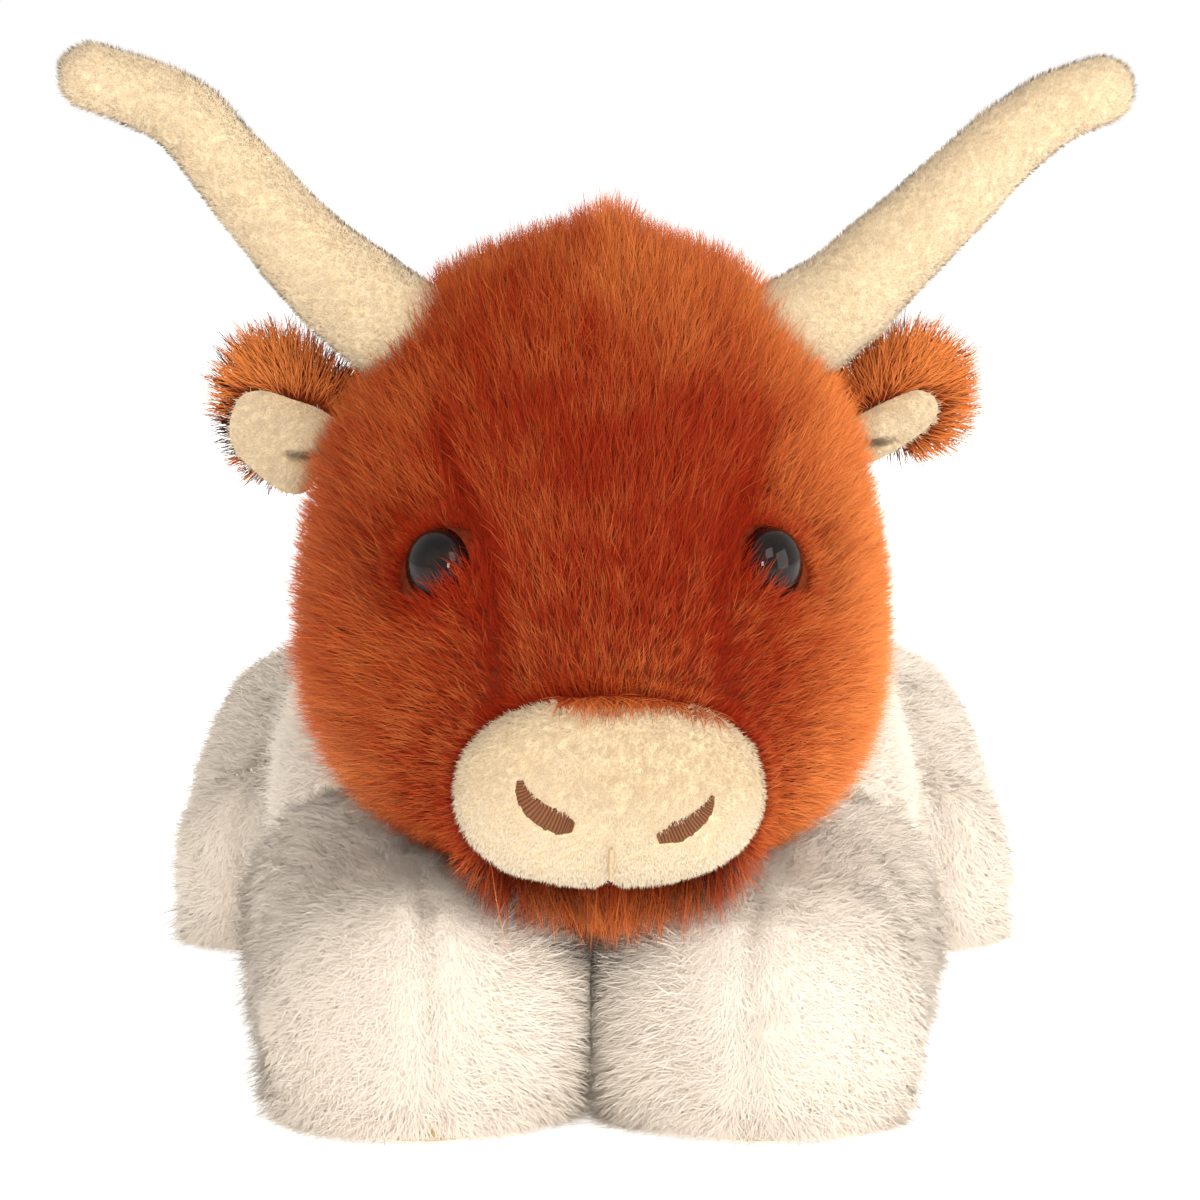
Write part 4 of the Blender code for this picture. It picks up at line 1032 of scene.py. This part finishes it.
add_fur(
    "torso_pile", scatter(torso, 2.4, 12), cream_tone, "torso", CREAM, softness=0.85, comb=body_comb,
    length=6.0 * MM, **PLUSH, seed=22,
)
add_fur(
    "torso_fuzz", scatter(torso, 0.45, 66), cream_tone, "torso", CREAM, comb=body_comb, length=7.5 * MM,
    **FUZZ, seed=67,
)
for part in ("foreleg", "hindleg"):
    for name, side in SIDES:
        leg = leg_of(side, part == "foreleg")
        cover = Cover(leg_grid(leg, PLUSH_BACKING))
        way = unit(leg.toe - leg.hinge)
        aside = np.cross(way, UP)
        off = (cover.grid - leg.toe) @ aside
        ahead = (cover.grid - leg.toe) @ way
        paw_seam = bell(off, 0.0016) * eased(ahead, 0.0, 0.015)
        cover.push(0.0005 - 0.0014 * paw_seam + 0.0006 * noise(cover.grid, 17 * MM, 61))
        cover.grid[..., 2] = np.maximum(cover.grid[..., 2], 0.2 * MM)
        body = f"{part}_{name}"
        obj = add_cover(f"{part}_cover_{name}", cover, body, CREAM, f"{part}_skin_{name}")
        underside = (cover.normals[..., 2] < -0.75) & (cover.grid[..., 2] < 8 * MM)
        cover.covered = np.maximum(cover.covered, underside)

        def leg_length(places, side=side):
            """Longer at the foot of the paw and between the paws."""
            low = eased(places[:, 2], 0.016, 0.004)
            inner = eased(side * places[:, 0], 0.016, 0.008)
            return (5.2 + 1.8 * low + 2.6 * inner) * MM

        def shows_sole(places, front=part == "foreleg" and name == "right"):
            """0 along the bit of the right foot's edge where the sole shows under the pile."""
            bare = (np.abs(places[:, 0] + 0.0320) < 0.0068) & (places[:, 2] < 0.0045)
            return np.where(front & bare & (places[:, 1] < -0.12), 0.0, 1.0)

        roots = scatter(cover, 3.4, 13, share=shows_sole)
        skirt = scatter(cover, 9.0, 63, share=lambda places: shows_sole(places) * (places[:, 2] < 0.0065))
        roots.places = np.concatenate([roots.places, skirt.places])
        roots.normals = np.concatenate([roots.normals, skirt.normals])
        add_fur(
            f"{part}_pile_{name}", roots, cream_tone, body, CREAM, softness=0.85,
            comb=leg_comb(side, leg), length=leg_length, **PLUSH, seed=23,
        )
        add_fur(
            f"{part}_fuzz_{name}",
            roots.kept(np.random.default_rng(64).random(len(roots.places)) < 0.16), cream_tone, body,
            CREAM, comb=leg_comb(side, leg),
            length=lambda places, reach=leg_length: 1.25 * reach(places), **FUZZ, seed=65,
        )
        if part == "foreleg":

            def in_cleft(places, side=side):
                near = (places[:, 1] < -0.085) & (places[:, 1] > -0.1445)
                return near * eased(side * places[:, 0], 0.021, 0.009) * eased(places[:, 2], 0.048, 0.038)

            def cleft_length(places, side=side):
                return (5.2 + 3.0 * eased(side * places[:, 0], 0.014, 0.006)) * MM

            def own_side(spine, side=side):
                """Strands kept on their own paw's side of the middle."""
                spine[..., 0] = side * np.maximum(side * spine[..., 0], 0.1 * MM)
                return spine

            add_fur(
                f"foreleg_inner_pile_{name}", scatter(cover, 5.0, 68, share=in_cleft), cream_tone, body,
                CREAM, comb=leg_comb(side, leg), length=cleft_length, lean=(0.2, 0.95), spread=0.8,
                width=0.24 * MM, clump=(2.6 * MM, 0.3), clear=own_side, seed=69,
            )


# Horns


def minky_tone(places, marks, own):
    patch = 0.5 + 0.5 * noise(places, 5 * MM, 71)
    return np.clip(0.5 + 0.25 * (patch - 0.5) + 0.22 * (marks - 0.5) + 0.3 * (own - 0.5), 0, 1)


def muzzle_tone(places, marks, own):
    """Warm at the top of the muzzle, paler at the chin and at the right of the nose."""
    pale = 0.75 * eased(places[:, 2], 0.074, 0.056) + 0.2 * eased(places[:, 0], 0.005, -0.025)
    return np.clip(minky_tone(places, marks, own) - 0.25 + pale, 0, 1)


NAP = {
    "length": 1.5 * MM,
    "lean": (0.35, 1.0),
    "spread": 0.5,
    "width": 0.15 * MM,
    "clump": (0.9 * MM, 0.25),
    "levels": 3,
}

for name, side in SIDES:
    base = HINGES[f"horn_flex_{name}"]
    outward = side * turned(ACROSS)
    rows = [base + out * HORN_REACH * outward + up * HORN_RISE * UP for out, up in HORN_PATHS[name]]
    path = smooth_rows(rows, 10)
    share = np.interp(np.linspace(0, 1, len(path)), np.linspace(0, 1, len(HORN_RADII)), HORN_RADII)
    start = path[0] - HORN_STUB * unit(path[1] - path[0])
    path = np.concatenate([[start], path])
    radii = np.concatenate([[HORN_STUB], HORN_RADIUS * share]) - MINKY_BACKING
    horn = Cover(tube_grid(path, radii, turned(BACK), 56))
    horn.push(0.0004 * noise(horn.grid, 9 * MM, 81))
    body = f"horn_{name}"
    obj = add_cover(f"horn_cover_{name}", horn, body, MINKY, f"horn_skin_{name}")

    def horn_comb(places, normals, outward=outward):
        return outward + 0.6 * UP + 0.5 * wander(places, 7 * MM, 91)

    add_fur(
        f"horn_nap_{name}", scatter(horn, 7.0, 14), minky_tone, body, MINKY, softness=0.8,
        comb=horn_comb, seed=24, **NAP,
    )


# Muzzle, with its satin-stitched nostrils

muzzle = Cover(form_grid(MUZZLE, MINKY_BACKING * 0.6, 8, 128))
notch = bell(muzzle.grid[..., 0], 0.0011) * eased(muzzle.grid[..., 2], 0.0560, 0.0500)
line = bell(muzzle.grid[..., 0], 0.0007) * eased(muzzle.grid[..., 2], 0.0640, 0.0560)
muzzle.push(-0.0022 * notch + 0.0004 * line + 0.0003 * noise(muzzle.grid, 6 * MM, 95))
muzzle_local = muzzle.grid.copy()
muzzle.grid = head_turned(muzzle.grid)
muzzle.normals = grid_normals(muzzle.grid)
muzzle_obj = add_cover("muzzle_cover", muzzle, "head", MINKY, "muzzle_skin")
# Points along each nostril's middle line, across and up, with its half width there
NOSTRILS = {
    "right": (
        (-0.0170, 0.0713, 0.0006),
        (-0.0164, 0.0687, 0.0014),
        (-0.0143, 0.0659, 0.0020),
        (-0.0114, 0.0640, 0.0023),
        (-0.0086, 0.0629, 0.0020),
        (-0.0070, 0.0624, 0.0009),
    ),
    "left": (
        (0.0191, 0.0681, 0.0004),
        (0.0179, 0.0655, 0.0012),
        (0.0154, 0.0631, 0.0018),
        (0.0122, 0.0613, 0.0020),
        (0.0087, 0.0601, 0.0010),
    ),
}


def nostril_clear(places):
    """No nap where the nostrils' threads lie."""
    local = head_unturned(places)
    keep = np.ones(len(local))
    for rows in NOSTRILS.values():
        for x, z, half in smooth_rows(rows, 6):
            apart = np.hypot(local[:, 0] - x, local[:, 2] - z)
            keep[(apart < half) & (local[:, 1] < -0.14)] = 0
    return keep


def fringe_share(places):
    """True along the part of the muzzle's upper edge that the forehead's pile hangs over."""
    return (places[:, 2] > 0.0815) & (places[:, 0] > -0.006) & (places[:, 0] < 0.024)


def muzzle_front(places):
    under_fringe = fringe_share(places) & (places[:, 2] > 0.0835)
    return nostril_clear(places) * (head_unturned(places)[:, 1] < RIM_FRONT + 0.5 * MM) * ~under_fringe


def muzzle_comb(places, normals):
    local = head_unturned(places)
    flow = -UP * 0.6 + unit(local - np.array((0, -0.150, 0.086)))
    return flow + 0.45 * wander(places, 6 * MM, 96)


add_fur(
    "muzzle_nap", scatter(muzzle, 9.0, 15, share=muzzle_front), muzzle_tone, "head", MINKY,
    softness=0.8, comb=muzzle_comb, seed=25, **{**NAP, "width": 0.18 * MM},
)


rim_grid = form_grid(MUZZLE, 0.0003, 8, 128)
rim_rows = rim_grid[:, :, 1].mean(axis=1)
rim_grid = head_turned(rim_grid[(rim_rows > RIM_FRONT) & (rim_rows < MUZZLE_BACK - 0.0005)])
rim = Cover(rim_grid)
rim_middle = head_turned(np.array((0.0, -0.145, MUZZLE.base + 0.5 * MUZZLE.height)))
rim.normals = unit(unit((rim.grid - rim_middle) * np.array((1, 0, 1)) + 1e-9) - 0.55 * BACK)


def rim_low(places):
    """1 at the chin, 0 from the sides up."""
    return eased(places[:, 2], 0.060, 0.052)


def rim_comb(places, normals):
    low = rim_low(places)[:, None]
    return BACK * (1 - 1.2 * low) - 0.8 * low * UP


def rim_length(places):
    over = bell(places[:, 0] + 0.002, 0.006) * eased(places[:, 2], 0.078, 0.084)
    return (4.2 + 7.5 * rim_low(places) + 2.5 * over) * MM


add_fur(
    "muzzle_rim_pile", scatter(rim, 6.0, 20), head_tone, "head", BROWN, comb=rim_comb,
    length=rim_length, lean=(0.75, 0.95), spread=0.4, clump=(2.6 * MM, 0.35), seed=30,
)


def fringe_length(places):
    return (6.0 + 2.6 * bell(places[:, 0] - 0.003, 0.006)) * MM


fringe = scatter(rim, 16.0, 37, share=fringe_share)
forward = np.random.default_rng(41).uniform(0.0, 2.4, (len(fringe.places), 1)) * MM
fringe.places = fringe.places - forward * BACK + 0.2 * MM * UP
fringe.normals = np.tile(unit(0.6 * UP - BACK), (len(fringe.places), 1))
add_fur(
    "muzzle_fringe", fringe, even_tone(0.35), "head", BROWN, comb=lambda places, normals: -UP,
    length=fringe_length, lean=(0.55, 1.75), spread=0.4, width=0.18 * MM, clump=(2.0 * MM, 0.35),
    seed=38,
)


def add_nostril(name, rows):
    """Satin stitch: threads laid side by side across a crescent, padded up in the middle."""
    tree = solid_of(muzzle_local)
    middle = smooth_rows(rows, 30)
    count, across = len(middle), 13
    way = unit(np.gradient(middle[:, :2], axis=0))
    aside = np.stack([-way[:, 1], way[:, 0]], axis=-1)
    points = np.zeros((count, across, 3))
    tones = np.zeros((count, across))
    threads = 24
    for i in range(count):
        phase = threads * i / (count - 1)
        ragged = 1 + 0.16 * (cell_number(np.array([int(phase), 3, 5]), 17) - 0.5)
        for j in range(across):
            t = 2 * j / (across - 1) - 1
            x, z = middle[i, :2] + t * ragged * middle[i, 2] * aside[i]
            hit = tree.ray_cast(Vector((x, -0.17, z)), Vector(BACK))[0]
            ridge = abs(math.sin(math.pi * phase))
            lift = (0.25 + 0.75 * math.sqrt(max(0, 1 - t * t))) * 0.9 * MM + 0.32 * MM * ridge - 0.3 * MM
            points[i, j] = np.array(hit) - lift * BACK
            # Painted light and shade: each thread is painted lighter along its crest and darker in the
            # grooves between threads, plus a random tone of its own
            tones[i, j] = ridge**0.7 + 0.3 * (cell_number(np.array([int(phase), 1, 2]), 9) - 0.5)
    points = head_turned(points.reshape(-1, 3))
    k = np.arange(count * across).reshape(count, across)
    faces = np.stack([k[:-1, :-1], k[1:, :-1], k[1:, 1:], k[:-1, 1:]], axis=-1).reshape(-1, 4)
    obj = add_mesh(f"nostril_stitch_{name}", points, faces.tolist(), "head")
    tone = obj.data.attributes.new("tone", "FLOAT", "POINT")
    tone.data.foreach_set("value", tones.ravel().clip(0, 1).astype(np.float32))
    obj.data.materials.append(thread_brown.material)
    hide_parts(f"nostril_{name}")


for name, _ in SIDES:
    add_nostril(name, NOSTRILS[name])


# Ears


def ear_grid(root, outward, back, lift, half_height):
    angle = 2 * np.pi * np.arange(64)[:, None] / 64
    rings = []
    for along, high, thick in smooth_rows(EAR_ROWS, 6):
        centre = root + along * (EAR_LENGTH - EAR_BACKING) * outward + lift * min(1, 3 * along) * UP
        half_high = max(half_height * high - EAR_BACKING, 0.6 * MM)
        half_thick = max(EAR_HALF_THICKNESS * thick - EAR_BACKING, 0.4 * MM)
        rings.append(centre + half_high * np.sin(angle) * UP + half_thick * np.cos(angle) * back)
    return np.array(rings)


for name, side in SIDES:
    root, body = HINGES[f"ear_flap_{name}"], f"ear_{name}"
    outward, back = side * turned(ACROSS), turned(BACK)
    ear = Cover(ear_grid(root, outward, back, *EAR_SIT[name]))
    obj = add_cover(f"ear_cover_{name}", ear, body, BROWN, f"ear_outer_{name}")
    out, lift = LINING_MIDDLE[name]
    middle = root + out * MM * outward - 0.0042 * back + lift * MM * UP
    outline = smooth_rows(LINING_OUTLINE[name], 8, looped=True) * MM

    def lining_reach(angle, outline=outline):
        """How far the lining reaches from its middle at an angle."""
        angles = np.arctan2(outline[:, 1], outline[:, 0])
        return np.interp(angle, angles, np.hypot(*outline.T), period=2 * np.pi)

    def lining_near(places, middle=middle, outward=outward, back=back, reach=lining_reach):
        """0 on the part of the ear's front that the lining covers."""
        off = places - middle
        out, rise = off @ outward, off[:, 2]
        under = np.hypot(out, rise) < 0.95 * reach(np.arctan2(rise, out))
        return np.where((off @ back < 0.0045) & under, 0, 1)

    def ear_comb(places, normals, middle=middle, outward=outward, back=back):
        off = places - middle
        flow = unit(off - dot(off, back) * back)
        return flow + 0.35 * outward - 0.15 * back

    def ear_tone(places, marks, own, root=root, outward=outward):
        base = 0.32 + 0.5 * eased((places - root) @ outward, 0.0, 0.018)
        return np.clip(base + 0.2 * (marks - 0.5) + 0.4 * (own - 0.5), 0, 1)

    add_fur(
        f"ear_pile_{name}", scatter(ear, 6.0, 16, share=lining_near), ear_tone, body, BROWN,
        comb=ear_comb,
        length=lambda places, root=root: (8.8 - 3.2 * eased(places[:, 2] - root[2], -0.002, -0.010)) * MM,
        lean=(0.45, 0.95), spread=0.35, clump=(2.4 * MM, 0.35), seed=26,
    )
    rows, columns = 30, 96
    s = np.linspace(0.003, 1, rows)[:, None]
    angle = 2 * np.pi * np.arange(columns) / columns
    across = s * lining_reach(angle) * np.cos(angle)
    level = s * lining_reach(angle) * np.sin(angle)
    above = level - (0.10 * across - 0.0020)
    inner = eased(across, 0.0015, -0.0035)
    fold = 0.0012 * eased(above, -0.0006, 0.0006) - 0.0030 * bell(above + 0.0006, 0.0009)
    front = 0.0022 * (1 - s**2.2) + inner * fold * (1 - 0.7 * s**4)
    flat = middle + across[..., None] * outward + level[..., None] * UP
    lining = Cover(flat - (front + 0.0008)[..., None] * back)
    if (lining.normals @ back).mean() > 0:
        lining.normals = -lining.normals
    faces = grid_faces(rows, columns).tolist() + [list(range(columns))]
    obj = add_mesh(f"ear_lining_cover_{name}", lining.grid.reshape(-1, 3), faces, body)
    obj.data.materials.append(MINKY.cloth.material)
    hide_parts(f"ear_lining_{name}")

    def lining_comb(places, normals, outward=outward):
        return outward - 0.35 * UP + 0.4 * wander(places, 6 * MM, 111)

    add_fur(
        f"ear_lining_nap_{name}", scatter(lining, 9.0, 17), minky_tone, body, MINKY, softness=0.8,
        comb=lining_comb, seed=27, **NAP,
    )


# Tail


tail_root = HINGES["tail_lift"]
rows = [tail_root + out * TAIL_BACK * BACK - down * TAIL_DROP * UP for out, down in TAIL_PATH]
path = smooth_rows(rows, 6)
tail = Cover(tube_grid(path, np.linspace(0.0048, 0.0026, len(path)), ACROSS, 28))
add_cover("tail_cover", tail, "tail", CREAM, "tail_skin")
add_fur(
    "tail_pile", scatter(tail, 3.0, 18), cream_tone, "tail", CREAM, comb=lambda places, normals: -UP,
    length=3.4 * MM, lean=(0.9, 1.5), seed=28,
)
end = path[-1]
tuft_rows = np.array([end - share * TUFT_LENGTH * UP for share in np.linspace(0, 0.82, 9)])
tuft_radii = np.interp(np.linspace(0, 1, 9), (0, 0.4, 1), (0.0022, 0.0042, 0.0016))
tuft = Cover(tube_grid(tuft_rows, tuft_radii, ACROSS, 28))
add_cover("tuft_cover", tuft, "tail", BROWN, "tail_tuft")
add_fur(
    "tuft_pile", scatter(tuft, 5.0, 19), even_tone(0.35), "tail", BROWN,
    comb=lambda places, normals: -UP, length=9.0 * MM, lean=(0.3, 1.35), seed=29,
)


# A loose fibre that hangs from the chin

fibre_root = np.array((-0.0225, -0.1475, 0.0555)) + np.random.default_rng(35).normal(0, 0.02 * MM, (1, 3))
add_fur(
    "loose_fibre", Roots(head_turned(fibre_root), unit(np.array([(-0.35, -0.9, 0.2)]))),
    lambda places, marks, own: np.clip(0.95 + 0.1 * own, 0, 1), "head", BROWN,
    comb=lambda places, normals: 0.45 * ACROSS - UP, length=21.0 * MM, lean=(1.2, 1.65), spread=0.03,
    width=0.16 * MM, levels=6, length_spread=0.05, seed=36,
)


# Eyes: polished domes, bedded in the pile

for name, _ in SIDES:
    centre, away = eyes[name]
    aside = unit(np.cross(away, UP))
    angle = 2 * np.pi * np.arange(56) / 56
    ring = np.cos(angle)[:, None] * aside + np.sin(angle)[:, None] * UP
    leans = np.radians((0, 0, 8, 18, 28, 38, 48, 58, 67, 75, 82, 88))
    depths = EYE_DOME * np.sin(leans)
    depths[0] -= EYE_RIM
    dome = [centre + EYE_RADIUS * math.cos(lean) * ring + depth * away for lean, depth in zip(leans, depths)]
    add_cover(f"eye_dome_{name}", Cover(np.array(dome)), "head", EYE, f"eye_{name}")


# The CAD's own solids that stay

BETTER_FINISHES = {
    "stuffing": stuffing_fibre,
    "pellet_bag": pellet_cloth,
    "washer": washer_plastic,
    "sole": sole_cloth,
    "mouth_stitch": stitch_painted_shade,
}
for label, node in frame["nodes"].items():
    for word, finish in BETTER_FINISHES.items():
        if word in label:
            node.data.materials.clear()
            node.data.materials.append(finish.material)


# Studio


def add_light(name, place, target, size, power, colour=(1, 1, 1)):
    data = bpy.data.lights.new(name, "AREA")
    data.shape = "RECTANGLE"
    data.size, data.size_y = size
    data.energy = power
    data.color = colour
    obj = bpy.data.objects.new(name, data)
    bpy.context.scene.collection.objects.link(obj)
    obj.location = place
    obj.rotation_euler = (Vector(target) - Vector(place)).to_track_quat("-Z", "Y").to_euler()


def add_floor():
    half, height = 4.0, -0.4 * MM
    corners = [(-half, -half, height), (half, -half, height), (half, half, height), (-half, half, height)]
    mesh = bpy.data.meshes.new("floor")
    mesh.from_pydata(corners, [], [(0, 1, 2, 3)])
    floor = bpy.data.objects.new("floor", mesh)
    bpy.context.scene.collection.objects.link(floor)
    made = Finish("floor_white", Roughness=0.9)
    white = made.speckle(0.5).between(0.0, 1.0).blend((0.93, 0.93, 0.93), (0.95, 0.95, 0.95))
    made.looks(Base_Color=white, Emission_Color=(1, 1, 1), Emission_Strength=0.55)
    mesh.materials.append(made.material)


def add_world():
    """Warm light on the toy, and plain white to the camera."""
    world = bpy.data.worlds.new("studio")
    world.use_nodes = True
    sky = Nodes(world.node_tree)
    sky.tree.nodes.remove(sky.tree.nodes["Background"])
    lit = sky.node("ShaderNodeBackground", {}, {"Color": (1.0, 0.985, 0.97), "Strength": 0.82})
    seen = sky.node("ShaderNodeBackground", {}, {"Color": (1, 1, 1), "Strength": 1.0})
    to_camera = sky.node("ShaderNodeLightPath", {}, {}, "Is Camera Ray")
    both = sky.node("ShaderNodeMixShader", {}, {0: to_camera, 1: lit, 2: seen})
    sky.give(sky.tree.nodes["World Output"].inputs["Surface"], both)
    bpy.context.scene.world = world


def add_camera():
    data = bpy.data.cameras.new("camera")
    data.lens = 139.2
    data.sensor_width = 36.0
    data.clip_start, data.clip_end = 0.05, 20
    camera = bpy.data.objects.new("camera", data)
    bpy.context.scene.collection.objects.link(camera)
    camera.location = (0.0018, -1.0, 0.2306)
    camera.rotation_euler = (math.radians(90 - 8.4), 0, 0)
    bpy.context.scene.camera = camera


add_camera()
add_world()
add_floor()
add_light("key", (0.55, -1.0, 0.9), (0, -0.05, 0.08), (0.6, 0.6), 5.0, (1.0, 0.97, 0.93))
add_light("side", (1.15, -0.45, 0.35), (0, -0.02, 0.07), (0.7, 0.7), 4.6, (1.0, 0.98, 0.95))
add_light("fill", (-0.9, -0.7, 0.6), (0, -0.05, 0.08), (0.8, 0.8), 0.4, (0.97, 0.97, 1.0))
add_light("front", (0.05, -1.2, 0.34), (0, -0.1, 0.08), (0.22, 0.22), 5.5, (1.0, 0.98, 0.96))
add_light("back", (0.3, 1.2, 0.9), (0, 0.05, 0.06), (0.9, 0.7), 13.0)
bpy.context.scene.view_settings.view_transform = "Standard"
